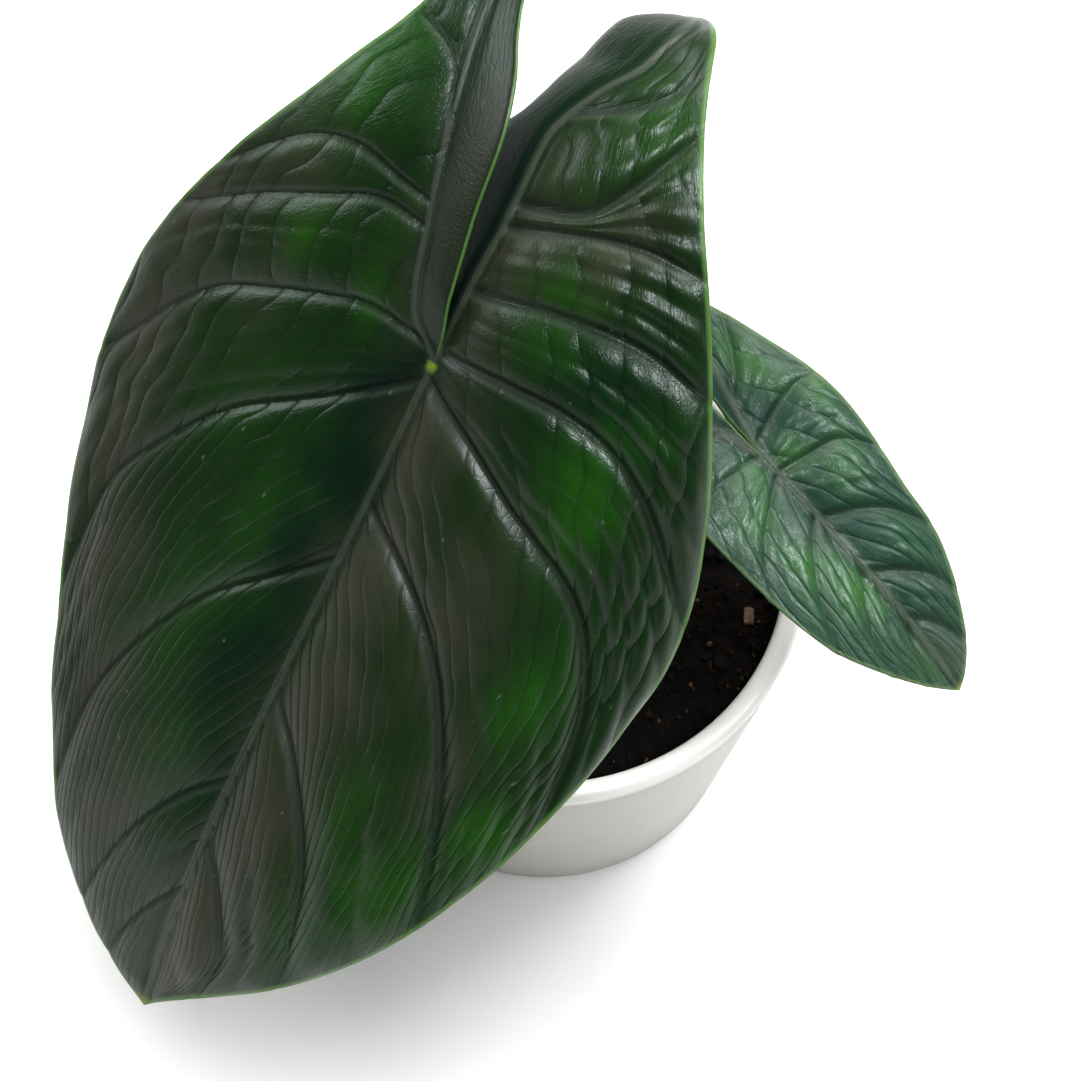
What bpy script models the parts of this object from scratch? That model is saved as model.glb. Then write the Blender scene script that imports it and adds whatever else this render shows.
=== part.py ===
"""Potted alocasia: two leaves on their stalks, growing from a rhizome in a soil filled white pot.

Frame: metres, +Z up. The origin is the centre of the pot's underside, on the surface it stands on.
-Y is the front. A blade has its own flat coordinates: t runs from -1 at the end of its lobes
through 0 at the junction with the stalk to 1 at the tip, and w runs out from the midrib, with 1 at
the widest place. Each blade has a side named "near", on the left when seen from the front, and a
side named "far".
"""
import math
import random

import bmesh
import bpy
import numpy as np
from mathutils import Vector

MM = 0.001
CLEARANCE = 0.3 * MM        # gap between pieces that touch

# Pot
POT_HEIGHT = 101 * MM
POT_RIM_RADIUS = 70 * MM
POT_BASE_RADIUS = 55.5 * MM
POT_WALL = 5 * MM
POT_LIP = 6 * MM            # thickness of the wall at its top edge
POT_LIP_DEPTH = 9 * MM      # height over which the lip thins to the wall
POT_FLOOR = 6 * MM
POT_FOOT_ROUND = 2.5 * MM   # radius of the lower outer edge
DRAIN_COUNT = 3
DRAIN_RADIUS = 5 * MM
DRAIN_OFFSET = 30 * MM      # from the pot's axis to each hole

# Soil and what grows from it
SOIL_BELOW_RIM = 8 * MM     # at the wall
SOIL_CROWN = 4 * MM         # how much higher the middle is
RHIZOME_DEPTH = 34 * MM     # below the soil
RHIZOME_ABOVE = 3 * MM      # above the soil
RHIZOME_MARGIN = 3 * MM     # round the feet of the stalks
CHIP_COUNT = 12
CHIP_LENGTH = 8 * MM
CHIP_WIDTH = 5 * MM
CHIP_THICKNESS = 2.4 * MM

# Large leaf
BLADE_THICKNESS = 1.2 * MM
LARGE_LENGTH = 216 * MM             # junction to tip
LARGE_NEAR_LOBE = 96 * MM
LARGE_FAR_LOBE = 112 * MM
LARGE_NEAR_WIDTH = 83 * MM          # midrib to margin at the widest place
LARGE_FAR_WIDTH = 84.5 * MM
LARGE_HEADING = 230.9               # degrees from +X
LARGE_TIP_BEARING = 223             # direction of the tip from the pot's axis
LARGE_TIP_PAST_RIM = 79 * MM
LARGE_TIP_ABOVE_RIM = -71 * MM

# Small leaf
SMALL_LENGTH = 78 * MM
SMALL_NEAR_LOBE = 42 * MM
SMALL_FAR_LOBE = 50 * MM
SMALL_NEAR_WIDTH = 26 * MM
SMALL_FAR_WIDTH = 27 * MM
SMALL_HEADING = -40.5
SMALL_TIP_BEARING = -21.6
SMALL_TIP_PAST_RIM = 43.5 * MM
SMALL_TIP_ABOVE_RIM = 7 * MM

# Stalks
LARGE_STALK_FOOT_RADIUS = 5.5 * MM
LARGE_STALK_TOP_RADIUS = 3.2 * MM
SMALL_STALK_FOOT_RADIUS = 4 * MM
SMALL_STALK_TOP_RADIUS = 2.2 * MM
STALK_GAP = 1 * MM                  # between the two feet on the rhizome
STALK_END = 2 * MM                  # straight length at each end of a stalk
LARGE_STALK_ARCH = (62 * MM, 8 * MM, 46 * MM)   # rise, lean back, approach below the blade
SMALL_STALK_ARCH = (26 * MM, 2 * MM, 26 * MM)

# The feet stand side by side on the rhizome, which is as wide as they need
FEET_SPAN = 2 * LARGE_STALK_FOOT_RADIUS + STALK_GAP + 2 * SMALL_STALK_FOOT_RADIUS
LARGE_FOOT_X = LARGE_STALK_FOOT_RADIUS - FEET_SPAN / 2
SMALL_FOOT_X = FEET_SPAN / 2 - SMALL_STALK_FOOT_RADIUS
RHIZOME_RADIUS = FEET_SPAN / 2 + RHIZOME_MARGIN

# Shape of each blade, as tables of (t, value). Slope, fold, bend and strip are in degrees.
# slope: how steeply the midrib, or a lobe's main vein, falls towards the tip
# vein: w of a lobe's main vein
# fold: the rise of the blade out from the midrib; bend: how far it turns down from there to w = 1
# strip: the rise of the part of a lobe that lies inside its main vein
LARGE_SLOPE = ((0, 50), (0.28, 47.5), (0.55, 49), (0.83, 59.5), (1, 67))
LARGE_NEAR = {
    "slope": ((-1, 12), (-0.68, 27), (-0.31, 41)) + LARGE_SLOPE,
    "vein": ((-1, 0.44), (-0.78, 0.37), (-0.31, 0.19), (-0.1, 0.11), (0, 0), (1, 0)),
    "fold": ((-1, 10), (0, 12), (0.46, 10), (1, 4)),
    "bend": ((-1, 24), (0.5, 24), (1, 19)),
    "strip": ((-1, 24), (-0.2, 20), (0, 5), (1, 0)),
    "outer": ((-1, 0.37), (-0.96, 0.46), (-0.84, 0.51), (-0.71, 0.535), (-0.45, 0.66),
              (-0.16, 0.83), (0.065, 0.965), (0.195, 1), (0.315, 0.95), (0.43, 0.87),
              (0.555, 0.76), (0.67, 0.65), (0.78, 0.53), (0.855, 0.42), (0.925, 0.265),
              (0.97, 0.12), (1, 0)),
    "inner": ((-1, 0.37), (-0.95, 0.31), (-0.84, 0.265), (-0.76, 0.205), (-0.68, 0.13),
              (-0.57, 0.07), (-0.385, 0.036), (-0.19, 0), (-0.083, -0.01), (-0.03, 0)),
}
LARGE_FAR = {
    "slope": ((-1, -60), (-0.86, -16), (-0.64, 18), (-0.27, 40)) + LARGE_SLOPE,
    "vein": ((-1, 0.04), (-0.88, 0.075), (-0.76, 0.073), (-0.65, 0.011), (-0.53, -0.034),
             (-0.4, -0.012), (-0.3, 0), (0, 0), (1, 0)),
    "fold": ((-1, 14), (0, 14), (0.46, 12), (1, 4)),
    "bend": ((-1, 82), (-0.27, 73), (0.28, 58), (0.65, 39), (1, 24)),
    "strip": ((-1, -25), (-0.72, -36), (-0.5, -40), (-0.2, -38), (0, -8), (1, 0)),
    "outer": ((-1, 0.02), (-0.975, 0.07), (-0.9, 0.15), (-0.75, 0.275), (-0.58, 0.435),
              (-0.41, 0.605), (-0.27, 0.72), (-0.09, 0.835), (0.023, 0.91), (0.083, 0.96),
              (0.167, 1), (0.278, 0.98), (0.4, 0.91), (0.49, 0.84), (0.63, 0.69),
              (0.72, 0.56), (0.8, 0.41), (0.893, 0.205), (0.958, 0.07), (1, 0)),
    "inner": ((-1, 0.02), (-0.975, -0.07), (-0.93, -0.15), (-0.84, -0.175), (-0.73, -0.189),
              (-0.61, -0.205), (-0.55, -0.23), (-0.49, -0.29), (-0.4, -0.285), (-0.3, -0.235),
              (-0.22, -0.18), (-0.15, -0.12), (-0.09, -0.06), (-0.03, 0)),
}
SMALL_SLOPE = ((0, 24), (0.38, 29), (0.77, 38), (1, 46))
SMALL_NEAR = {
    "slope": ((-1, 10), (-0.3, 20)) + SMALL_SLOPE,
    "vein": ((-1, 0.45), (-0.6, 0.3), (0, 0), (1, 0)),
    "fold": ((-1, 10), (0, 10), (0.5, 8), (1, 4)),
    "bend": ((-1, 15), (0.5, 15), (1, 12)),
    "strip": ((-1, 20), (-0.2, 15), (0, 5), (1, 0)),
    "outer": ((-1, 0.38), (-0.93, 0.58), (-0.7, 0.8), (-0.35, 0.95), (0, 1), (0.2, 0.985),
              (0.42, 0.92), (0.58, 0.8), (0.76, 0.53), (0.88, 0.3), (0.96, 0.11), (1, 0)),
    "inner": ((-1, 0.38), (-0.95, 0.26), (-0.85, 0.14), (-0.7, 0.055), (-0.4, 0.02), (-0.08, 0)),
}
SMALL_FAR = {
    "slope": ((-1, 8), (-0.3, 20)) + SMALL_SLOPE,
    "vein": ((-1, 0.45), (-0.6, 0.3), (0, 0), (1, 0)),
    "fold": ((-1, 12), (0, 12), (0.5, 8), (1, 4)),
    "bend": ((-1, 16), (0.5, 16), (1, 12)),
    "strip": ((-1, 20), (-0.2, 15), (0, 5), (1, 0)),
    "outer": ((-1, 0.36), (-0.94, 0.55), (-0.74, 0.72), (-0.5, 0.83), (-0.24, 0.94), (0, 0.99),
              (0.15, 0.96), (0.36, 0.86), (0.55, 0.81), (0.68, 0.68), (0.78, 0.53),
              (0.89, 0.35), (0.965, 0.16), (1, 0)),
    "inner": ((-1, 0.36), (-0.94, 0.22), (-0.8, 0.10), (-0.6, 0.035), (-0.4, 0.02), (-0.08, 0)),
}

COLOURS = {                 # base colour, roughness
    "pot_glaze": ((0.80, 0.79, 0.76), 0.25),
    "potting_soil": ((0.022, 0.015, 0.011), 0.95),
    "rhizome_skin": ((0.16, 0.11, 0.06), 0.8),
    "bark": ((0.20, 0.10, 0.045), 0.85),
    "large_blade": ((0.030, 0.075, 0.028), 0.38),
    "small_blade": ((0.035, 0.095, 0.050), 0.33),
    "stalk_skin": ((0.13, 0.21, 0.06), 0.5),
}


def clear_scene():
    """Remove every object that the file opened with."""
    for item in list(bpy.data.objects):
        bpy.data.objects.remove(item)


def material(name):
    """A Principled material with the named colour."""
    found = bpy.data.materials.get(name)
    if found:
        return found
    made = bpy.data.materials.new(name)
    made.use_nodes = True
    shader = made.node_tree.nodes["Principled BSDF"]
    colour, roughness = COLOURS[name]
    shader.inputs["Base Color"].default_value = (*colour, 1)
    shader.inputs["Roughness"].default_value = roughness
    shader.inputs["Metallic"].default_value = 0
    made.diffuse_color = (*colour, 1)
    return made


def add_object(name, data, collection, parent, material_name, location=(0, 0, 0)):
    """Link new object data into the collection, under the parent, with its material."""
    made = bpy.data.objects.new(name, data)
    collection.objects.link(made)
    made.parent = parent
    made.location = location
    data.materials.append(material(material_name))
    return made


def smooth_table(table, x):
    """Values of a table of (x, value) rows, without overshoot between them."""
    knots, values = (np.array(column, float) for column in zip(*table))
    steps = np.diff(knots)
    rises = np.diff(values) / steps
    tangents = np.zeros(len(knots))
    tangents[0] = rises[0]
    tangents[-1] = rises[-1]
    for k in range(1, len(knots) - 1):
        if rises[k - 1] * rises[k] > 0:
            before = 2 * steps[k] + steps[k - 1]
            after = steps[k] + 2 * steps[k - 1]
            tangents[k] = (before + after) / (before / rises[k - 1] + after / rises[k])
    return hermite(knots, values, tangents, np.clip(x, knots[0], knots[-1]))


def hermite(knots, values, tangents, x):
    """Cubic pieces through the values with the given tangents."""
    k = np.clip(np.searchsorted(knots, x, side="right") - 1, 0, len(knots) - 2)
    step = knots[k + 1] - knots[k]
    u = (x - knots[k]) / step
    start = (1 + 2 * u) * (1 - u) ** 2 * values[k] + u * (1 - u) ** 2 * step * tangents[k]
    end = u * u * (3 - 2 * u) * values[k + 1] + u * u * (u - 1) * step * tangents[k + 1]
    return start + end


def smooth_curve(points):
    """Fine points along a smooth curve through the given ones."""
    points = np.array(points, float)
    chords = np.sqrt(np.linalg.norm(np.diff(points, axis=0), axis=1))
    knots = np.concatenate([[0], np.cumsum(chords)])
    fine = np.linspace(0, knots[-1], 1200)
    columns = [hermite(knots, c, np.gradient(c, knots), fine) for c in points.T]
    return np.stack(columns, -1)


class Blade:
    """A leaf's surface: a spine that falls towards the tip, with a curved section across it."""

    def __init__(self, length, lobes, widths, sides, heading, tip):
        self.length = length
        self.lobes = lobes
        self.widths = widths
        self.sides = sides
        turn = math.radians(heading)
        self.ahead = np.array((math.cos(turn), math.sin(turn), 0))
        self.up = np.array((0, 0, 1.0))
        self.t = np.linspace(-1, 1, 801)
        self.spines = [self.spine(side) for side in (0, 1)]
        shift = np.array(tip) - self.spines[0][-1]
        self.spines = [line + shift for line in self.spines]
        self.junction = Vector(self.spines[0][400])

    def width_at(self, side, outline, t):
        """w of one of the blade's outlines at each t, smoothed at real size."""
        width = self.widths[side]
        points = []
        for at, w in self.sides[side][outline]:
            points.append((at * (self.lobes[side] if at < 0 else self.length), w * width))
        curve = smooth_curve(points)
        along = np.where(t < 0, t * self.lobes[side], t * self.length)
        return np.interp(along, curve[:, 0], curve[:, 1]) / width

    def spine(self, side):
        """Points along the spine of one side, from the junction at the origin."""
        slope = np.radians(smooth_table(self.sides[side]["slope"], self.t))
        heading = np.cos(slope)[:, None] * self.ahead - np.sin(slope)[:, None] * self.up
        scale = np.where(self.t[:-1] < -1e-9, self.lobes[side], self.length)
        steps = (heading[1:] + heading[:-1]) / 2 * (np.diff(self.t) * scale)[:, None]
        line = np.vstack([np.zeros(3), np.cumsum(steps, axis=0)])
        return line - line[400]

    def frame(self, side, t):
        """Spine point, outward direction and upper normal at each t."""
        slope = np.radians(smooth_table(self.sides[side]["slope"], t))[..., None]
        along = np.cos(slope) * self.ahead - np.sin(slope) * self.up
        normal = np.sin(slope) * self.ahead + np.cos(slope) * self.up
        point = np.stack([np.interp(t, self.t, self.spines[side][:, k]) for k in range(3)], -1)
        outward = np.cross(normal, along) * (1 if side else -1)
        return point, outward, normal

    def surface(self, side, t, w):
        """Points of the blade's middle surface."""
        t, w = np.asarray(t, float), np.asarray(w, float)
        shape, width = self.sides[side], self.widths[side]
        point, outward, normal = self.frame(side, t)
        vein = smooth_table(shape["vein"], t)
        fold = np.radians(smooth_table(shape["fold"], t))
        bend = np.radians(smooth_table(shape["bend"], t)) / width
        strip = np.radians(smooth_table(shape["strip"], t))
        out = np.maximum(w, vein) * width
        inside = np.maximum(vein - w, 0) * width
        sideways = (np.sin(fold) - np.sin(fold - bend * out)) / bend - inside * np.cos(strip)
        rise = (np.cos(fold - bend * out) - np.cos(fold)) / bend + inside * np.sin(strip)
        offset = sideways[..., None] * outward + rise[..., None] * normal
        return point + offset


def tip_place(bearing, past_rim, above_rim):
    """Where a tip hangs, measured from the pot's rim."""
    reach = POT_RIM_RADIUS + past_rim
    turn = math.radians(bearing)
    return (reach * math.cos(turn), reach * math.sin(turn), POT_HEIGHT + above_rim)


def add_blade(name, blade, rows, columns, collection, parent, material_name):
    """A lobed blade from a grid: its middle strip is cut out and the midrib welded."""
    lobe_rows = rows // 3
    lobe_t = -1 + 0.97 * np.linspace(0, 1, lobe_rows, endpoint=False) ** 1.6
    t_rows = np.concatenate([lobe_t, -0.03 + 1.03 * np.linspace(0, 1, rows - lobe_rows + 1)])
    share = np.linspace(0, 1, columns + 1)
    places = []
    for side in (0, 1):
        outer = blade.width_at(side, "outer", t_rows)
        inner = np.where(t_rows < -0.0301, blade.width_at(side, "inner", t_rows), 0)
        w = inner[:, None] + share * (outer - inner)[:, None]
        places.append(blade.surface(side, np.repeat(t_rows[:, None], columns + 1, 1), w))
    form = bmesh.new()
    bmesh.ops.create_grid(form, x_segments=2 * columns + 1, y_segments=rows, size=0.5)
    middle = []
    for face in form.faces:
        if abs(face.calc_center_median().x) < 0.4 / (2 * columns + 1):
            middle.append(face)
    bmesh.ops.delete(form, geom=middle, context="FACES_ONLY")
    for vertex in form.verts:
        column = round((vertex.co.x + 0.5) * (2 * columns + 1))
        row = round((vertex.co.y + 0.5) * rows)
        side = int(column > columns)
        place = column - columns - 1 if side else columns - column
        vertex.co = Vector(places[side][row][place]) - blade.junction
    bmesh.ops.delete(form, geom=[e for e in form.edges if not e.link_faces], context="EDGES")
    bmesh.ops.remove_doubles(form, verts=form.verts, dist=0.00005)
    bmesh.ops.dissolve_degenerate(form, dist=0.00005, edges=form.edges)
    mesh = bpy.data.meshes.new(name)
    form.to_mesh(mesh)
    form.free()
    mesh.shade_smooth()
    made = add_object(name, mesh, collection, parent, material_name, blade.junction)
    solid = made.modifiers.new("thickness", "SOLIDIFY")
    solid.thickness = BLADE_THICKNESS
    solid.offset = 0
    return made


def turned(name, profile, steps, collection, parent, material_name):
    """A solid of revolution from (radius, height) points down its outer side."""
    mesh = bpy.data.meshes.new(name)
    edges = [(k, k + 1) for k in range(len(profile) - 1)]
    mesh.from_pydata([(r, 0, z) for r, z in profile], edges, [])
    made = add_object(name, mesh, collection, parent, material_name)
    screw = made.modifiers.new("turn", "SCREW")
    screw.steps = steps
    screw.render_steps = steps
    screw.use_merge_vertices = True
    screw.merge_threshold = 0.00002
    screw.use_smooth_shade = True
    return made


def arc(centre, radius, start, end, steps):
    """Points of an arc in a profile, with angles in degrees from +radius."""
    points = []
    for k in range(steps + 1):
        angle = math.radians(start + (end - start) * k / steps)
        points.append((centre[0] + radius * math.cos(angle), centre[1] + radius * math.sin(angle)))
    return points


def outer_radius(height):
    """The pot's outside radius at a height."""
    return POT_BASE_RADIUS + (POT_RIM_RADIUS - POT_BASE_RADIUS) * height / POT_HEIGHT


def inner_radius(height):
    """The pot's inside radius at a height, thickening into the lip."""
    lip = max(0, 1 - (POT_HEIGHT - height) / POT_LIP_DEPTH)
    return outer_radius(height) - POT_WALL - (POT_LIP - POT_WALL) * lip


def soil_height(radius):
    """Height of the soil's surface at a distance from the axis."""
    edge = POT_HEIGHT - SOIL_BELOW_RIM
    full = inner_radius(edge) - CLEARANCE
    return edge + SOIL_CROWN * (1 - (radius / full) ** 2)


def add_pot(collection, cutters, parent):
    """The tapered pot with a rounded lip, a flat underside and drain holes round its middle."""
    round_lip = POT_LIP / 2
    lip_level = POT_HEIGHT - round_lip
    middle = outer_radius(lip_level) - round_lip
    foot = POT_FOOT_ROUND
    profile = [(0, POT_FLOOR), (inner_radius(POT_FLOOR) - foot, POT_FLOOR)]
    profile.append((inner_radius(POT_FLOOR + foot), POT_FLOOR + foot))
    profile.append((inner_radius(POT_HEIGHT / 2), POT_HEIGHT / 2))
    profile.append((inner_radius(POT_HEIGHT - POT_LIP_DEPTH), POT_HEIGHT - POT_LIP_DEPTH))
    profile += arc((middle, lip_level), round_lip, 180, 0, 8)
    profile.append((outer_radius(POT_HEIGHT / 2), POT_HEIGHT / 2))
    profile += arc((outer_radius(foot) - foot, foot), foot, 0, -90, 4)
    profile.append((0, 0))
    pot = turned("pot", profile, 56, collection, parent, "pot_glaze")
    for k in range(DRAIN_COUNT):
        angle = math.radians(90 + 360 * k / DRAIN_COUNT)
        place = (DRAIN_OFFSET * math.cos(angle), DRAIN_OFFSET * math.sin(angle), POT_FLOOR / 2)
        bpy.ops.mesh.primitive_cylinder_add(
            vertices=20, radius=DRAIN_RADIUS, depth=POT_FLOOR * 3, location=place)
        cutter = bpy.context.object
        cutter.name = f"drain_cutter_{k + 1}"
        for holder in cutter.users_collection:
            holder.objects.unlink(cutter)
        cutters.objects.link(cutter)
        cutter.hide_render = True
        cutter.display_type = "WIRE"
        cut = pot.modifiers.new(f"drain_{k + 1}", "BOOLEAN")
        cut.operation = "DIFFERENCE"
        cut.object = cutter


def add_soil(collection, parent):
    """The soil that fills the pot, with a socket for the rhizome."""
    socket = RHIZOME_RADIUS + CLEARANCE
    socket_floor = soil_height(0) - RHIZOME_DEPTH - CLEARANCE
    edge = POT_HEIGHT - SOIL_BELOW_RIM
    full = inner_radius(edge) - CLEARANCE
    profile = [(0, socket_floor), (socket, socket_floor), (socket, soil_height(socket))]
    for k in range(1, 6):
        radius = socket + (full - socket) * k / 5
        profile.append((radius, soil_height(radius)))
    for height in (POT_HEIGHT - POT_LIP_DEPTH, POT_HEIGHT / 2, POT_FLOOR + POT_FOOT_ROUND + CLEARANCE):
        if height < edge - 0.5 * MM:
            profile.append((inner_radius(height) - CLEARANCE, height))
    bottom = inner_radius(POT_FLOOR) - POT_FOOT_ROUND - CLEARANCE
    profile.append((bottom, POT_FLOOR + CLEARANCE))
    profile.append((0, POT_FLOOR + CLEARANCE))
    turned("soil", profile, 56, collection, parent, "potting_soil")


def crown_height():
    """Top of the rhizome."""
    return soil_height(0) + RHIZOME_ABOVE


def add_rhizome(collection, parent):
    """The short stout stem in its socket, with a flat crown that carries the stalks."""
    top = crown_height()
    bottom = soil_height(0) - RHIZOME_DEPTH
    edge = min(RHIZOME_ABOVE, RHIZOME_RADIUS / 3)
    profile = [(0, top), (RHIZOME_RADIUS - edge, top)]
    profile += arc((RHIZOME_RADIUS - edge, top - edge), edge, 60, 0, 3)
    profile.append((RHIZOME_RADIUS, bottom + RHIZOME_RADIUS))
    profile += arc((0, bottom + RHIZOME_RADIUS), RHIZOME_RADIUS, -15, -75, 4)
    profile.append((0, bottom))
    turned("rhizome", profile, 28, collection, parent, "rhizome_skin")


def add_stalk(name, blade, foot_x, foot_radius, top_radius, arch, collection, parent):
    """A tapering stalk that arches from the crown to the underside of its blade."""
    rise, lean, lead = arch
    _, _, normal = blade.frame(1, np.array(0.02))
    spine = Vector(blade.surface(1, 0.02, 0.0))
    normal = Vector(normal)
    end = spine - normal * (BLADE_THICKNESS / 2 + CLEARANCE)
    start = Vector((foot_x, 0, crown_height() + CLEARANCE))
    foot = start + Vector((0, 0, STALK_END))
    head = end - normal * STALK_END
    controls = (foot, foot + Vector((0, lean, rise)), head - normal * lead, head)
    places = [start]
    count = 14
    for k in range(count):
        s = k / (count - 1)
        weights = ((1 - s) ** 3, 3 * s * (1 - s) ** 2, 3 * s * s * (1 - s), s ** 3)
        place = Vector((0, 0, 0))
        for weight, control in zip(weights, controls):
            place += weight * control
        places.append(place)
    places.append(end)
    curve = bpy.data.curves.new(name, "CURVE")
    curve.dimensions = "3D"
    curve.bevel_depth = foot_radius
    curve.bevel_resolution = 2
    curve.use_fill_caps = True
    line = curve.splines.new("POLY")
    line.points.add(len(places) - 1)
    for k, place in enumerate(places):
        share = k / (len(places) - 1)
        line.points[k].co = (*(place - start), 1)
        line.points[k].radius = 1 + (top_radius / foot_radius - 1) * share ** 0.7
    add_object(name, curve, collection, parent, "stalk_skin", start)


def add_chips(collection, parent):
    """Bark chips scattered on the soil, each resting just clear of its surface."""
    draw = random.Random(11)
    placed = []
    inner_limit = RHIZOME_RADIUS + CHIP_LENGTH * 0.75
    outer_limit = inner_radius(POT_HEIGHT - SOIL_BELOW_RIM) - CHIP_LENGTH * 0.75
    while len(placed) < CHIP_COUNT:
        angle = draw.uniform(0, 2 * math.pi)
        radius = math.sqrt(draw.uniform((inner_limit / outer_limit) ** 2, 1)) * outer_limit
        spot = Vector((radius * math.cos(angle), radius * math.sin(angle), 0))
        size = draw.uniform(0.6, 1)
        turn = draw.uniform(0, math.pi)
        corners = [draw.uniform(0.7, 1) for _ in range(24)]
        if min([(spot - other).length for other in placed], default=1) < 1.6 * CHIP_LENGTH:
            continue
        placed.append(spot)
        form = bmesh.new()
        bmesh.ops.create_cube(form, size=1)
        for k, vertex in enumerate(form.verts):
            flat = Vector((vertex.co.x * CHIP_LENGTH * size * corners[3 * k],
                           vertex.co.y * CHIP_WIDTH * size * corners[3 * k + 1], 0))
            x = flat.x * math.cos(turn) - flat.y * math.sin(turn)
            y = flat.x * math.sin(turn) + flat.y * math.cos(turn)
            reach = math.hypot(spot.x + x, spot.y + y)
            lift = soil_height(reach) - soil_height(radius)
            thick = CHIP_THICKNESS * size * (vertex.co.z + 0.5) * corners[3 * k + 2]
            vertex.co = (x, y, CLEARANCE + lift + thick)
        name = f"bark_chip_{len(placed):02d}"
        mesh = bpy.data.meshes.new(name)
        form.to_mesh(mesh)
        form.free()
        spot_on_soil = (spot.x, spot.y, soil_height(radius))
        chip = add_object(name, mesh, collection, parent, "bark", spot_on_soil)
        soften = chip.modifiers.new("worn_edges", "BEVEL")
        soften.width = 0.12 * CHIP_THICKNESS
        soften.segments = 1


def build():
    """Model the whole plant in its pot."""
    clear_scene()
    scene = bpy.context.scene
    collection = bpy.data.collections.new("potted_alocasia")
    cutters = bpy.data.collections.new("cutters")
    scene.collection.children.link(collection)
    scene.collection.children.link(cutters)
    parent = bpy.data.objects.new("plant_frame", None)
    collection.objects.link(parent)

    add_pot(collection, cutters, parent)
    add_soil(collection, parent)
    add_rhizome(collection, parent)
    add_chips(collection, parent)

    large_tip = tip_place(LARGE_TIP_BEARING, LARGE_TIP_PAST_RIM, LARGE_TIP_ABOVE_RIM)
    large = Blade(LARGE_LENGTH, (LARGE_NEAR_LOBE, LARGE_FAR_LOBE),
                  (LARGE_NEAR_WIDTH, LARGE_FAR_WIDTH), (LARGE_NEAR, LARGE_FAR),
                  LARGE_HEADING, large_tip)
    small_tip = tip_place(SMALL_TIP_BEARING, SMALL_TIP_PAST_RIM, SMALL_TIP_ABOVE_RIM)
    small = Blade(SMALL_LENGTH, (SMALL_NEAR_LOBE, SMALL_FAR_LOBE),
                  (SMALL_NEAR_WIDTH, SMALL_FAR_WIDTH), (SMALL_NEAR, SMALL_FAR),
                  SMALL_HEADING, small_tip)
    add_blade("leaf_large", large, 42, 9, collection, parent, "large_blade")
    add_blade("leaf_small", small, 27, 6, collection, parent, "small_blade")
    add_stalk("stalk_large", large, LARGE_FOOT_X, LARGE_STALK_FOOT_RADIUS,
              LARGE_STALK_TOP_RADIUS, LARGE_STALK_ARCH, collection, parent)
    add_stalk("stalk_small", small, SMALL_FOOT_X, SMALL_STALK_FOOT_RADIUS,
              SMALL_STALK_TOP_RADIUS, SMALL_STALK_ARCH, collection, parent)


build()
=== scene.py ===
"""Potted alocasia: the finished surfaces and finishes of the plant, its soil and its pot.

Frame: metres, +Z up. The origin is the centre of the pot's underside, on the floor, and -Y is the
front. A blade has its own flat coordinates: t runs from -1 at the end of its lobes through 0 at the
junction with the stalk to 1 at the tip, and w runs out from the midrib, with 1 at the widest place.
Each blade has a side named "near", on the left when seen from the front, and a side named "far".
"""

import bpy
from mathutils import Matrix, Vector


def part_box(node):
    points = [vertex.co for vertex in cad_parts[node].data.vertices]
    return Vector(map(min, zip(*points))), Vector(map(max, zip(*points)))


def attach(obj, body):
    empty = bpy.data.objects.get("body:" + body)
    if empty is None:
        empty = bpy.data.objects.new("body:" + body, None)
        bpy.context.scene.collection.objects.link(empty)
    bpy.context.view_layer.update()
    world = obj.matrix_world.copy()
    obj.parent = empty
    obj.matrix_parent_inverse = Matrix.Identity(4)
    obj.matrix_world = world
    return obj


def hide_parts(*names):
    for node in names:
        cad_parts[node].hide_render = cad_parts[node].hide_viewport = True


bl_info = {
    "name": "Potted Alocasia",
    "version": (1, 0, 0),
    "blender": (4, 5, 0),
    "location": "View3D > Sidebar > Alocasia",
    "description": "Models a potted alocasia with its leaves, stalks, soil and pot",
    "category": "Object",
}

import math
import random
from contextlib import contextmanager

import bpy
import numpy as np
from bpy.props import FloatProperty, FloatVectorProperty, IntProperty, PointerProperty
from mathutils import Matrix, Vector, noise

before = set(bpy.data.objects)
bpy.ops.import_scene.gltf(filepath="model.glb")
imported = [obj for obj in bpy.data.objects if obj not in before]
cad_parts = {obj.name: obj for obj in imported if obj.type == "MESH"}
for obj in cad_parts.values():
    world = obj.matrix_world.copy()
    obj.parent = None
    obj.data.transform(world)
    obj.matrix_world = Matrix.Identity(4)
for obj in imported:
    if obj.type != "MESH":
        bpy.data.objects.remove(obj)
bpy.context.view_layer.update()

MM = 0.001
POT_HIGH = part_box("pot")[1]
SOIL_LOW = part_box("soil")[0]
RHIZOME_LOW, RHIZOME_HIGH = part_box("rhizome")

# Pot
POT_HEIGHT = POT_HIGH.z
POT_RIM_RADIUS = POT_HIGH.x
POT_BASE_RADIUS = 55.5 * MM
POT_WALL = 5 * MM
POT_LIP = 6 * MM
POT_LIP_DEPTH = 9 * MM
POT_FLOOR = SOIL_LOW.z - 0.3 * MM
POT_FOOT_ROUND = 2.5 * MM
DRAIN_COUNT = 3
DRAIN_RADIUS = 5 * MM
DRAIN_OFFSET = 30 * MM

# Soil and what grows from it
SOIL_BELOW_RIM = 8 * MM
SOIL_CROWN = 4 * MM
SOIL_GAP = 0.3 * MM
RHIZOME_RADIUS = RHIZOME_HIGH.x
FEET_GAP = 1 * MM
LARGE_STALK_RADIUS = 5.5 * MM
SMALL_STALK_RADIUS = 4 * MM

# Where each blade's tip hangs from the rim, and how it lies
LARGE_HEADING = 230.9
LARGE_TIP = (223, 79 * MM, -71 * MM)            # bearing, past the rim, above the rim
SMALL_HEADING = -40.5
SMALL_TIP = (-21.6, 43.5 * MM, 7 * MM)
BLADE_HALF = 0.6 * MM                           # half the thickness of a blade's solid

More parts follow.
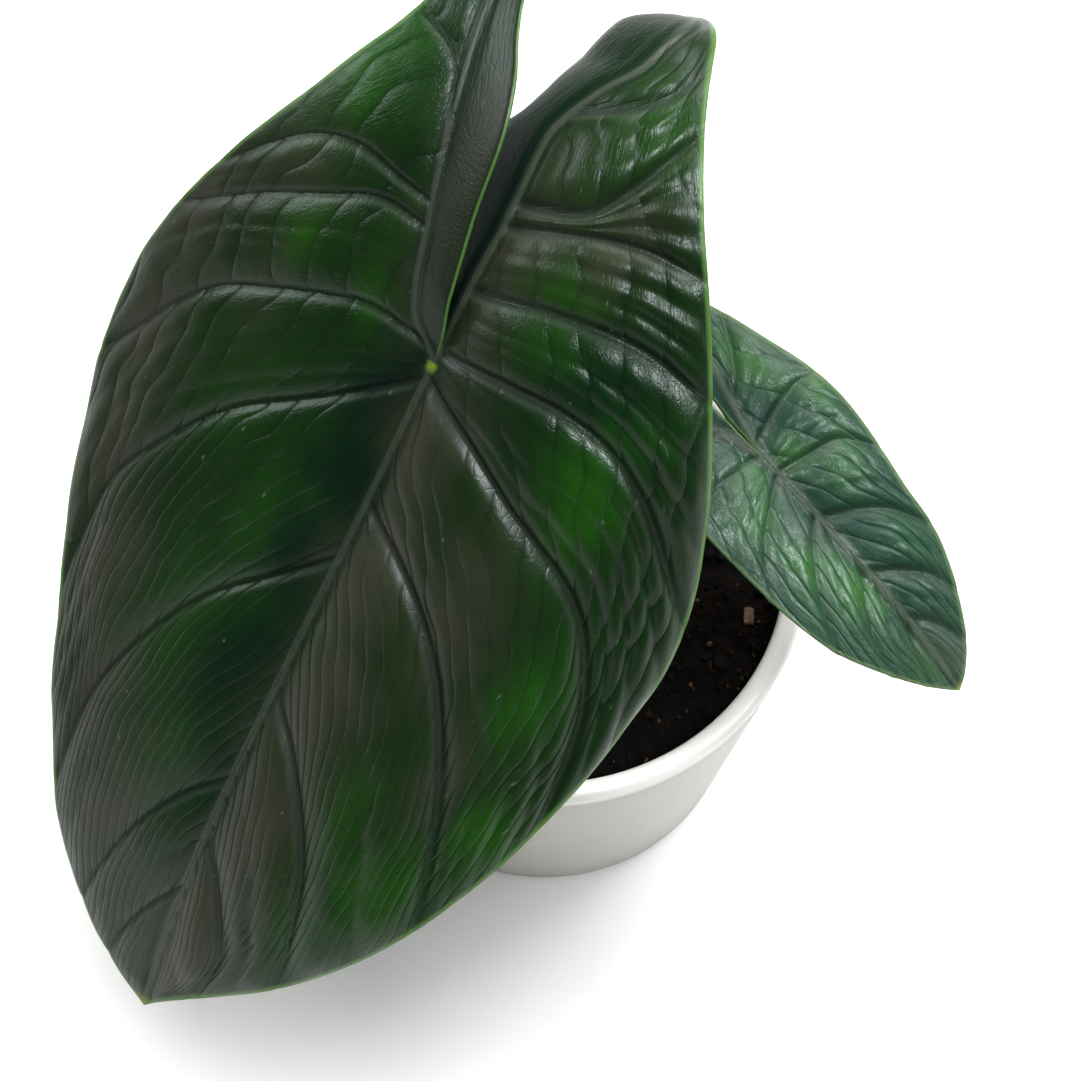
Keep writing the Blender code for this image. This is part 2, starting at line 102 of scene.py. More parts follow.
# Shape of each blade, as tables of (t, value). Slope, fold, bend and strip are in degrees.
# slope: how steeply the midrib, or a lobe's main vein, falls towards the tip
# vein: w of a lobe's main vein
# fold: the rise of the blade out from the midrib; bend: how far it turns down from there to w = 1
# strip: the rise of the part of a lobe that lies inside its main vein
LARGE_SLOPE = ((0, 50), (0.28, 47.5), (0.55, 49), (0.83, 59.5), (1, 67))
LARGE_NEAR = {
    "slope": ((-1, 12), (-0.68, 27), (-0.31, 41)) + LARGE_SLOPE,
    "vein": ((-1, 0.44), (-0.78, 0.37), (-0.31, 0.19), (-0.1, 0.11), (0, 0), (1, 0)),
    "fold": ((-1, 10), (0, 12), (0.46, 10), (1, 4)),
    "bend": ((-1, 24), (0.5, 24), (1, 19)),
    "strip": ((-1, 24), (-0.2, 20), (0, 5), (1, 0)),
    "outer": ((-1, 0.37), (-0.96, 0.46), (-0.84, 0.51), (-0.71, 0.535), (-0.45, 0.66),
              (-0.16, 0.83), (0.065, 0.965), (0.195, 1), (0.315, 0.95), (0.43, 0.87),
              (0.555, 0.76), (0.67, 0.65), (0.78, 0.53), (0.855, 0.42), (0.925, 0.265),
              (0.97, 0.12), (1, 0)),
    "inner": ((-1, 0.37), (-0.95, 0.31), (-0.84, 0.265), (-0.76, 0.205), (-0.68, 0.13),
              (-0.57, 0.07), (-0.385, 0.036), (-0.19, 0), (-0.083, -0.01), (-0.03, 0)),
}
LARGE_FAR = {
    "slope": ((-1, -60), (-0.86, -16), (-0.64, 18), (-0.27, 40)) + LARGE_SLOPE,
    "vein": ((-1, 0.04), (-0.88, 0.075), (-0.76, 0.073), (-0.65, 0.011), (-0.53, -0.034),
             (-0.4, -0.012), (-0.3, 0), (0, 0), (1, 0)),
    "fold": ((-1, 14), (0, 14), (0.46, 12), (1, 4)),
    "bend": ((-1, 82), (-0.27, 73), (0.28, 58), (0.65, 39), (1, 24)),
    "strip": ((-1, -25), (-0.72, -36), (-0.5, -40), (-0.2, -38), (0, -8), (1, 0)),
    "outer": ((-1, 0.02), (-0.975, 0.07), (-0.9, 0.15), (-0.75, 0.275), (-0.58, 0.435),
              (-0.41, 0.605), (-0.27, 0.72), (-0.09, 0.835), (0.023, 0.91), (0.083, 0.96),
              (0.167, 1), (0.278, 0.98), (0.4, 0.91), (0.49, 0.84), (0.63, 0.69),
              (0.72, 0.56), (0.8, 0.41), (0.893, 0.205), (0.958, 0.07), (1, 0)),
    "inner": ((-1, 0.02), (-0.975, -0.07), (-0.93, -0.15), (-0.84, -0.175), (-0.73, -0.189),
              (-0.61, -0.205), (-0.55, -0.23), (-0.49, -0.29), (-0.4, -0.285), (-0.3, -0.235),
              (-0.22, -0.18), (-0.15, -0.12), (-0.09, -0.06), (-0.03, 0)),
}
SMALL_SLOPE = ((0, 24), (0.38, 29), (0.77, 38), (1, 46))
SMALL_NEAR = {
    "slope": ((-1, 10), (-0.3, 20)) + SMALL_SLOPE,
    "vein": ((-1, 0.45), (-0.6, 0.3), (0, 0), (1, 0)),
    "fold": ((-1, 10), (0, 10), (0.5, 8), (1, 4)),
    "bend": ((-1, 15), (0.5, 15), (1, 12)),
    "strip": ((-1, 20), (-0.2, 15), (0, 5), (1, 0)),
    "outer": ((-1, 0.38), (-0.93, 0.58), (-0.7, 0.8), (-0.35, 0.95), (0, 1), (0.2, 0.985),
              (0.42, 0.92), (0.58, 0.8), (0.76, 0.53), (0.88, 0.3), (0.96, 0.11), (1, 0)),
    "inner": ((-1, 0.38), (-0.95, 0.26), (-0.85, 0.14), (-0.7, 0.055), (-0.4, 0.02), (-0.08, 0)),
}
SMALL_FAR = {
    "slope": ((-1, 8), (-0.3, 20)) + SMALL_SLOPE,
    "vein": ((-1, 0.45), (-0.6, 0.3), (0, 0), (1, 0)),
    "fold": ((-1, 12), (0, 12), (0.5, 8), (1, 4)),
    "bend": ((-1, 16), (0.5, 16), (1, 12)),
    "strip": ((-1, 20), (-0.2, 15), (0, 5), (1, 0)),
    "outer": ((-1, 0.36), (-0.94, 0.55), (-0.74, 0.72), (-0.5, 0.83), (-0.24, 0.94), (0, 0.99),
              (0.15, 0.96), (0.36, 0.86), (0.55, 0.81), (0.68, 0.68), (0.78, 0.53),
              (0.89, 0.35), (0.965, 0.16), (1, 0)),
    "inner": ((-1, 0.36), (-0.94, 0.22), (-0.8, 0.10), (-0.6, 0.035), (-0.4, 0.02), (-0.08, 0)),
}

# Main veins, from the lobe's end to the tip: rows of faces since the vein before (lobes only), t
# where it leaves the spine, the (t, w) points it runs through, t where it meets the outer margin.
LARGE_VEINS = (
    (
        (26, -0.54, ((-0.646, 0.361),), -0.70),
        (40, -0.344, ((-0.354, 0.325), (-0.365, 0.47), (-0.32, 0.615)), -0.125),
        (14, -0.29, ((-0.29, 0.337), (-0.22, 0.494), (-0.135, 0.663)), 0.014),
        (36, -0.042, ((-0.052, 0.229), (-0.01, 0.36), (0.023, 0.506), (0.074, 0.71)), 0.23),
        (22, 0.014, ((0.097, 0.24), (0.18, 0.494), (0.27, 0.663), (0.352, 0.771)), 0.52),
        (0, 0.26, ((0.32, 0.145), (0.394, 0.313), (0.5, 0.458), (0.61, 0.54)), 0.765),
        (0, 0.583, ((0.634, 0.108), (0.718, 0.217), (0.833, 0.30)), 0.90),
        (0, 0.764, ((0.824, 0.084), (0.89, 0.145)), 0.954),
    ),
    (
        (18, -0.59, ((-0.66, 0.13), (-0.73, 0.20)), -0.82),
        (14, -0.375, ((-0.446, 0.19), (-0.518, 0.25)), -0.70),
        (22, -0.33, ((-0.41, 0.225), (-0.446, 0.355)), -0.465),
        (22, -0.18, ((-0.25, 0.27), (-0.275, 0.50)), -0.24),
        (38, -0.034, ((-0.071, 0.249), (-0.08, 0.414), (-0.054, 0.556), (0.014, 0.71)), 0.139),
        (24, 0.014, ((0.046, 0.213), (0.079, 0.367), (0.148, 0.663), (0.26, 0.828)), 0.426),
        (0, 0.185, ((0.213, 0.178), (0.287, 0.39), (0.435, 0.59)), 0.61),
        (0, 0.449, ((0.495, 0.142), (0.616, 0.331)), 0.795),
        (0, 0.667, ((0.722, 0.107), (0.82, 0.20)), 0.915),
    ),
)
SMALL_VEINS = (
    (
        (18, -0.36, ((-0.45, 0.42),), -0.72),
        (16, -0.10, ((-0.13, 0.35), (-0.14, 0.70)), -0.10),
        (12, 0.03, ((0.08, 0.30), (0.16, 0.66)), 0.30),
        (0, 0.20, ((0.28, 0.28), (0.40, 0.56)), 0.58),
        (0, 0.44, ((0.52, 0.22), (0.63, 0.42)), 0.78),
        (0, 0.68, ((0.76, 0.14),), 0.90),
    ),
    (
        (18, -0.36, ((-0.45, 0.40),), -0.70),
        (16, -0.12, ((-0.17, 0.35), (-0.19, 0.66)), -0.16),
        (12, 0.03, ((0.06, 0.32), (0.10, 0.66)), 0.22),
        (0, 0.24, ((0.29, 0.28), (0.38, 0.58)), 0.53),
        (0, 0.47, ((0.54, 0.24), (0.64, 0.48)), 0.75),
        (0, 0.68, ((0.75, 0.18),), 0.89),
    ),
)

# Colour patches, in mm on the flattened blade: along (from the junction to the tip), across
# (the near side is negative), reach along, reach across, strength
LARGE_BRIGHT = (
    (-9, -40, 9, 6, 0.9), (-9, -20, 9, 5, 0.6), (-51, -46, 13, 10, 0.9), (-36, -54, 9, 7, 0.5),
    (-28, 22, 10, 9, 0.8), (-52, 12, 9, 8, 0.3), (6, 47, 16, 8, 0.9), (-12, 54, 10, 6, 0.5),
    (58, 58, 14, 8, 0.8), (101, 66, 13, 8, 1.0), (126, 50, 17, 10, 0.8), (80, 4, 12, 3, 0.5),
    (112, 33, 16, 6, 0.5), (60, -18, 22, 10, 0.35), (95, -32, 24, 12, 0.35), (30, -40, 20, 14, 0.25),
    (-76, 18, 10, 10, 0.5), (130, -20, 20, 8, 0.3), (150, 34, 14, 8, 0.6),
)
# Painted shade: dark blue green patches where the blade beside the midrib turns away from the light.
LARGE_TEAL_SHADE = (
    (12, -6, 16, 8, 1.0), (36, -7, 18, 7, 0.9), (62, -8, 18, 7, 0.8), (92, -9, 22, 7, 0.7),
    (128, -7, 20, 6, 0.4), (-2, 11, 8, 8, 0.5), (-16, 40, 14, 20, 0.4),
)
# Grey bronze patches: partly the leaf's own bronze tint, partly painted sheen where the blade catches
# light at a grazing angle.
LARGE_BRONZE_SHEEN = (
    (18, 9, 20, 10, 1.0), (52, 12, 26, 12, 1.0), (92, 13, 26, 12, 1.0), (132, 12, 28, 10, 1.0),
    (172, 8, 26, 10, 1.0), (48, 34, 22, 8, 0.8), (84, 46, 16, 6, 0.7), (-32, 6, 24, 9, 0.9),
    (-48, 26, 14, 8, 0.8), (-24, -52, 16, 12, 0.6), (2, -70, 24, 10, 0.9), (35, -70, 24, 10, 0.9),
    (66, -66, 24, 9, 0.9), (98, -56, 24, 8, 0.8), (130, -42, 24, 8, 0.8), (158, -28, 20, 8, 0.8),
    (-52, -11, 24, 8, 1.0), (-16, -10, 12, 5, 0.6), (6, -44, 14, 8, 0.35), (-44, -62, 14, 8, 0.5),
    (-12, -56, 14, 8, 0.5),
)
SMALL_BRIGHT = (
    (2, 4, 6, 5, 0.9), (-20, 14, 7, 5, 0.9), (-6, 22, 8, 5, 0.6), (12, 14, 8, 6, 0.5),
    (6, -14, 8, 7, 0.6), (24, -10, 9, 5, 0.7), (40, -8, 9, 4, 0.7), (66, 0, 7, 5, 0.6),
    (36, 16, 9, 5, 0.3), (-2, -8, 6, 5, 0.6),
)
# Painted shade: blue green patches where the small blade turns away from the light.
SMALL_TEAL_SHADE = ((20, 7, 16, 6, 0.8), (-12, 8, 12, 8, 0.8), (45, 5, 12, 5, 0.5), (30, 18, 12, 8, 0.5))
# Grey bronze patches on the small blade: partly its own tint, partly painted sheen.
SMALL_BRONZE_SHEEN = ((66, 3, 8, 5, 0.7), (14, -3, 12, 2, 0.4), (-26, 24, 8, 5, 0.3))


class AlocasiaSizes(bpy.types.PropertyGroup):
    """Sizes that change how the plant is finished."""

    blade_thickness: FloatProperty(
        name="Blade Thickness", description="Thickness of a blade between its veins",
        default=0.7 * MM, min=0.1 * MM, max=2 * MM, unit="LENGTH")
    rib_thickness: FloatProperty(
        name="Rib Thickness", description="Thickness of the large blade at its midrib, by the stalk",
        default=3.6 * MM, min=0.5 * MM, max=6 * MM, unit="LENGTH")
    large_dome: FloatProperty(
        name="Large Leaf Relief", description="How far the large blade bulges between its main veins",
        default=1.9 * MM, min=0, max=4 * MM, unit="LENGTH")
    small_dome: FloatProperty(
        name="Small Leaf Relief", description="How far the small blade bulges between its main veins",
        default=1.3 * MM, min=0, max=3 * MM, unit="LENGTH")
    crumb_count: IntProperty(
        name="Crumbs", description="Number of small crumbs on the soil", default=1100, min=0, max=4000)
    lump_count: IntProperty(
        name="Lumps", description="Number of larger lumps on the soil", default=150, min=0, max=600)
    soil_relief: FloatProperty(
        name="Soil Relief", description="Height of the soil's clods", default=2.6 * MM, min=0,
        max=6 * MM, unit="LENGTH")


class AlocasiaColours(bpy.types.PropertyGroup):
    """Colours of the plant's finishes."""

    leaf_green: FloatVectorProperty(
        name="Leaf Green", description="Main green of the large blade", subtype="COLOR",
        default=(0.0035, 0.019, 0.0026), min=0, max=1)
    # Grey bronze: partly the leaf's own tint, partly painted sheen.
    leaf_bronze_sheen: FloatVectorProperty(
        name="Leaf Bronze", description="Grey bronze tint along the veins and the edge",
        subtype="COLOR", default=(0.035, 0.036, 0.021), min=0, max=1)
    leaf_bright: FloatVectorProperty(
        name="Leaf Bright Green", description="Green of the fresh patches", subtype="COLOR",
        default=(0.010, 0.068, 0.002), min=0, max=1)
    # Dark blue green used as painted shade beside the midrib and on the folded strip.
    leaf_teal_shade: FloatVectorProperty(
        name="Leaf Teal", description="Blue green beside the midrib", subtype="COLOR",
        default=(0.001, 0.010, 0.008), min=0, max=1)
    small_green: FloatVectorProperty(
        name="Small Leaf Green", description="Main green of the small blade", subtype="COLOR",
        default=(0.011, 0.042, 0.020), min=0, max=1)
    glaze: FloatVectorProperty(
        name="Glaze", description="White of the pot", subtype="COLOR",
        default=(0.420, 0.398, 0.356), min=0, max=1)


def sizes():
    """The plant's sizes."""
    return bpy.context.scene.alocasia_sizes


def colours():
    """The plant's colours."""
    return bpy.context.scene.alocasia_colours


# ---------------------------------------------------------------- shader maths

def maths(operation, swapped=False):
    """A method that puts two values through a Math node, the second one first if swapped."""
    def method(self, other):
        first, second = (other, self) if swapped else (self, other)
        return self.graph.add("Math", {"operation": operation}, {0: first, 1: second})
    return method


class Value:
    """A shader socket that takes Python's arithmetic."""

    def __init__(self, graph, socket):
        self.graph = graph
        self.socket = socket

    __add__, __radd__ = maths("ADD"), maths("ADD", True)
    __sub__, __rsub__ = maths("SUBTRACT"), maths("SUBTRACT", True)
    __mul__, __rmul__ = maths("MULTIPLY"), maths("MULTIPLY", True)
    __truediv__, __pow__ = maths("DIVIDE"), maths("POWER")

    def clamp(self):
        """This value held between 0 and 1."""
        return self.graph.add("Clamp", {}, {0: self})

    def smooth(self, low, high):
        """0 below low, 1 above high and an S curve between them."""
        return self.graph.add("MapRange", {"interpolation_type": "SMOOTHSTEP"},
                              {"Value": self, "From Min": low, "From Max": high})


class Graph:
    """The nodes of one material."""

    def __init__(self, name):
        self.material = bpy.data.materials.new(name)
        self.material.use_nodes = True
        self.nodes = self.material.node_tree.nodes
        self.shader = self.nodes["Principled BSDF"]

    def add(self, kind, settings=None, inputs=None, output=0):
        """A node of a type, with its settings made before its sockets get values or links."""
        made = self.nodes.new("ShaderNode" + kind)
        for name, value in (settings or {}).items():
            if name == "stops":
                self.set_stops(made.color_ramp, value)
            else:
                setattr(made, name, value)
        for name, value in (inputs or {}).items():
            self.join(made.inputs[name], value)
        return Value(self, made.outputs[output])

    def set_stops(self, ramp, stops):
        """The (place, colour) stops of a colour ramp."""
        while len(ramp.elements) < len(stops):
            ramp.elements.new(1)
        for element, (place, colour) in zip(ramp.elements, stops):
            element.position = place
            element.color = (*colour, 1)

    def join(self, socket, value):
        """A link from another node, or a value, into a socket."""
        if isinstance(value, Value):
            self.material.node_tree.links.new(value.socket, socket)
        elif socket.type == "RGBA" and len(value) == 3:
            socket.default_value = (*value, 1)
        else:
            socket.default_value = value

    def mix(self, factor, first, second, blend="MIX"):
        """A blend of two colours."""
        return self.add("Mix", {"data_type": "RGBA", "blend_type": blend},
                        {"Factor": factor, 6: first, 7: second}, 2)

    def attribute(self, name):
        """A number that the piece's vertices carry."""
        return self.add("Attribute", {"attribute_name": name}, None, 2)

    def place(self, scale=(1, 1, 1), turn=(0, 0, 0), flat=False):
        """Object coordinates, or the flat ones of a UV map, scaled and turned."""
        source = self.add("TexCoord", None, None, 2 if flat else 3)
        return self.add("Mapping", None, {"Vector": source, "Rotation": turn, "Scale": scale})

    def noise(self, where, scale, detail=3, roughness=0.55, distortion=0):
        """Soft noise from 0 to 1."""
        return self.add("TexNoise", None, {
            "Vector": where, "Scale": scale, "Detail": detail, "Roughness": roughness,
            "Distortion": distortion})

    def cells(self, where, scale, feature="F1", randomness=1):
        """Distances in a cell pattern."""
        return self.add("TexVoronoi", {"feature": feature}, {
            "Vector": where, "Scale": scale, "Randomness": randomness})

    def bump(self, height, distance, strength=1, under=None):
        """A normal tilted by a height, over another one if given."""
        inputs = {"Height": height, "Distance": distance, "Strength": strength}
        if under:
            inputs["Normal"] = under
        return self.add("Bump", None, inputs)

    def dull(self, factor, colour, normal):
        """A share of plain matt colour in place of the Principled shader."""
        matt = self.add("BsdfDiffuse", None, {"Color": colour, "Normal": normal})
        mixed = self.add("MixShader", None, {0: factor, 2: matt})
        links = self.material.node_tree.links
        links.new(self.shader.outputs[0], mixed.socket.node.inputs[1])
        links.new(mixed.socket, self.nodes["Material Output"].inputs["Surface"])

    def finish(self, **values):
        """The Principled shader's values and links, by socket name."""
        for name, value in values.items():
            self.join(self.shader.inputs[name.replace("_", " ")], value)
        return self.material


# ---------------------------------------------------------------- modelling helpers

def deselect():
    """Nothing selected, in object mode."""
    if bpy.context.object and bpy.context.object.mode != "OBJECT":
        bpy.ops.object.mode_set(mode="OBJECT")
    bpy.ops.object.select_all(action="DESELECT")


def select_only(piece):
    """One piece selected and active."""
    deselect()
    piece.select_set(True)
    bpy.context.view_layer.objects.active = piece


def name_new(name):
    """The object that an operator has just made, under its name."""
    made = bpy.context.object
    made.name = name
    made.data.name = name
    return made


def apply_modifiers(piece):
    """Every modifier of a piece, made part of its mesh."""
    select_only(piece)
    for modifier in list(piece.modifiers):
        bpy.ops.object.modifier_apply(modifier=modifier.name)


def settle(piece, finish, smooth=True, sharp=None):
    """A piece shaded, its place moved into its mesh and its material in its slot."""
    select_only(piece)
    if sharp:
        bpy.ops.object.shade_smooth_by_angle(angle=math.radians(sharp))
    elif smooth:
        bpy.ops.object.shade_smooth()
    bpy.ops.object.transform_apply(location=True, rotation=True, scale=True)
    piece.data.materials.append(finish)
    return piece


@contextmanager
def editing(piece):
    """Edit mode with everything selected, then object mode again."""
    select_only(piece)
    bpy.ops.object.mode_set(mode="EDIT")
    bpy.ops.mesh.select_all(action="SELECT")
    yield
    bpy.ops.object.mode_set(mode="OBJECT")


def tidy_mesh(piece, merge):
    """Doubles merged and faces turned outwards."""
    with editing(piece):
        bpy.ops.mesh.remove_doubles(threshold=merge)
        bpy.ops.mesh.normals_make_consistent(inside=False)


def coordinates(mesh):
    """A mesh's vertices as an array."""
    flat = np.zeros(len(mesh.vertices) * 3, np.float32)
    mesh.vertices.foreach_get("co", flat)
    return flat.reshape(-1, 3).astype(float)


def move_to(mesh, places):
    """Vertices moved to the given places."""
    mesh.vertices.foreach_set("co", np.asarray(places, np.float32).ravel())
    mesh.update()


def add_number(mesh, name, values):
    """A number stored on each vertex."""
    layer = mesh.attributes.new(name, "FLOAT", "POINT")
    layer.data.foreach_set("value", np.asarray(values, np.float32).ravel())


def add_flat_map(mesh, along, across):
    """A UV map that holds each vertex's flat coordinates."""
    layer = mesh.uv_layers.new(name="flat")
    corners = np.zeros(len(mesh.loops), np.int32)
    mesh.loops.foreach_get("vertex_index", corners)
    pairs = np.stack([np.ravel(along), np.ravel(across)], -1)[corners]
    layer.data.foreach_set("uv", pairs.astype(np.float32).ravel())


def new_grid(name, across, along):
    """A flat grid, and the column and row of each of its vertices."""
    deselect()
    bpy.ops.mesh.primitive_grid_add(x_subdivisions=across, y_subdivisions=along, size=1)
    made = name_new(name)
    co = coordinates(made.data)
    column = np.rint((co[:, 0] + 0.5) * across).astype(int)
    row = np.rint((co[:, 1] + 0.5) * along).astype(int)
    return made, column, row


def wrap_grid(name, around, places, u_values=None):
    """A closed form from a grid: places[row, column] with the last column on the first."""
    rows = places.shape[0] - 1
    made, column, row = new_grid(name, around, rows)
    move_to(made.data, places[row, column])
    if u_values is not None:
        add_flat_map(made.data, u_values[row], column / around)
    tidy_mesh(made, 0.004 * MM)
    return made


def noise_at(points, scale, seed, octaves=3):
    """Smooth noise at points, about -1 to 1, with a feature size given by scale."""
    shift = Vector((seed * 7.31, seed * 3.17, seed * 5.73))
    values = []
    for point in points.reshape(-1, points.shape[-1]):
        full = Vector((*point, 0)) if len(point) == 2 else Vector(point)
        values.append(noise.fractal(full / scale + shift, 0.9, 2.0, octaves))
    return np.array(values).reshape(points.shape[:-1])


def ramp(x, low, high):
    """0 below low, 1 above high and an S curve between."""
    share = np.clip((np.asarray(x, float) - low) / (high - low), 0, 1)
    return share * share * (3 - 2 * share)


def hermite(knots, values, tangents, x):
    """Cubic pieces through the values with the given tangents."""
    k = np.clip(np.searchsorted(knots, x, side="right") - 1, 0, len(knots) - 2)
    step = knots[k + 1] - knots[k]
    u = (x - knots[k]) / step
    start = (1 + 2 * u) * (1 - u) ** 2 * values[k] + u * (1 - u) ** 2 * step * tangents[k]
    end = u * u * (3 - 2 * u) * values[k + 1] + u * u * (u - 1) * step * tangents[k + 1]
    return start + end


def smooth_table(table, x):
    """Values of a table of (x, value) rows, without overshoot between them."""
    knots, values = (np.array(column, float) for column in zip(*table))
    steps = np.diff(knots)
    rises = np.diff(values) / steps
    tangents = np.zeros(len(knots))
    tangents[0] = rises[0]
    tangents[-1] = rises[-1]
    for k in range(1, len(knots) - 1):
        if rises[k - 1] * rises[k] > 0:
            before = 2 * steps[k] + steps[k - 1]
            after = steps[k] + 2 * steps[k - 1]
            tangents[k] = (before + after) / (before / rises[k - 1] + after / rises[k])
    return hermite(knots, values, tangents, np.clip(x, knots[0], knots[-1]))


def smooth_curve(points):
    """Fine points along a smooth curve through the given ones."""
    points = np.array(points, float)
    chords = np.sqrt(np.linalg.norm(np.diff(points, axis=0), axis=1))
    knots = np.concatenate([[0], np.cumsum(chords)])
    fine = np.linspace(0, knots[-1], 1200)
    columns = [hermite(knots, c, np.gradient(c, knots), fine) for c in points.T]
    return np.stack(columns, -1)


def along_line(line, shares):
    """Points at shares of a line's length, and the length."""
    steps = np.linalg.norm(np.diff(line, axis=0), axis=1)
    run = np.concatenate([[0], np.cumsum(steps)])
    at = np.asarray(shares, float) * run[-1]
    return np.stack([np.interp(at, run, line[:, k]) for k in range(line.shape[1])], -1), run[-1]


# ---------------------------------------------------------------- blades

class Blade:
    """A leaf's surface: a spine that falls towards the tip, with a curved section across it."""

    def __init__(self, length, lobes, widths, sides, heading, tip):
        self.length = length
        self.lobes = lobes
        self.widths = widths
        self.sides = sides
        turn = math.radians(heading)
        self.ahead = np.array((math.cos(turn), math.sin(turn), 0))
        self.up = np.array((0, 0, 1.0))
        self.t = np.linspace(-1, 1, 801)
        self.spines = [self.spine(side) for side in (0, 1)]
        shift = np.array(tip_place(*tip)) - self.spines[0][-1]
        self.spines = [line + shift for line in self.spines]

    def width_at(self, side, outline, t):
        """w of one of the blade's outlines at each t, smoothed at real size."""
        width = self.widths[side]
        points = []
        for at, w in self.sides[side][outline]:
            points.append((at * (self.lobes[side] if at < 0 else self.length), w * width))
        curve = smooth_curve(points)
        along = np.where(t < 0, t * self.lobes[side], t * self.length)
        return np.interp(along, curve[:, 0], curve[:, 1]) / width

    def spine(self, side):
        """Points along the spine of one side, from the junction at the origin."""
        slope = np.radians(smooth_table(self.sides[side]["slope"], self.t))
        heading = np.cos(slope)[:, None] * self.ahead - np.sin(slope)[:, None] * self.up
        scale = np.where(self.t[:-1] < -1e-9, self.lobes[side], self.length)
        steps = (heading[1:] + heading[:-1]) / 2 * (np.diff(self.t) * scale)[:, None]
        line = np.vstack([np.zeros(3), np.cumsum(steps, axis=0)])
        return line - line[len(line) // 2]

    def frame(self, side, t):
        """Spine point, outward direction and upper normal at each t."""
        slope = np.radians(smooth_table(self.sides[side]["slope"], t))[..., None]
        along = np.cos(slope) * self.ahead - np.sin(slope) * self.up
        normal = np.sin(slope) * self.ahead + np.cos(slope) * self.up
        point = np.stack([np.interp(t, self.t, self.spines[side][:, k]) for k in range(3)], -1)
        outward = np.cross(normal, along) * (1 if side else -1)
        return point, outward, normal

    def surface(self, side, t, w):
        """Points of the blade's middle surface."""
        t, w = np.asarray(t, float), np.asarray(w, float)
        shape, width = self.sides[side], self.widths[side]
        point, outward, normal = self.frame(side, t)
        vein = smooth_table(shape["vein"], t)
        fold = np.radians(smooth_table(shape["fold"], t))
        bend = np.radians(smooth_table(shape["bend"], t)) / width
        strip = np.radians(smooth_table(shape["strip"], t))
        out = np.maximum(w, vein) * width
        inside = np.maximum(vein - w, 0) * width
        sideways = (np.sin(fold) - np.sin(fold - bend * out)) / bend - inside * np.cos(strip)
        rise = (np.cos(fold - bend * out) - np.cos(fold)) / bend + inside * np.sin(strip)
        offset = sideways[..., None] * outward + rise[..., None] * normal
        return point + offset

    def flat(self, side, t, w):
        """Flat coordinates in metres: along from the junction, and across from the midrib."""
        t, w = np.asarray(t, float), np.asarray(w, float)
        along = np.where(t < 0, t * self.lobes[side], t * self.length)
        return np.stack([along, w * self.widths[side]], -1)

    def spine_w(self, side, t):
        """w of a side's spine: its lobe's main vein, kept off the outlines near the lobe's end."""
        t = np.asarray(t, float)
        outer = self.width_at(side, "outer", t)
        inner = self.inner_w(side, t)
        keep = 0.35 * ramp(-t, 0.85, 1) * (outer - inner)
        vein = np.where(t < 0, smooth_table(self.sides[side]["vein"], t), 0)
        return np.clip(vein, inner + keep, outer - keep)

    def inner_w(self, side, t):
        """w of the edge of the gap between the lobes, and 0 where they are joined."""
        return np.where(t < JOIN_T - 0.0001, self.width_at(side, "inner", t), 0)


def tip_place(bearing, past_rim, above_rim):
    """Where a tip hangs, measured from the pot's rim."""
    reach = POT_RIM_RADIUS + past_rim
    turn = math.radians(bearing)
    return (reach * math.cos(turn), reach * math.sin(turn), POT_HEIGHT + above_rim)


JOIN_T = -0.03      # where the lobes grow together
NO_EDGE = 20        # mm from the margin, stored where the margin isn't near


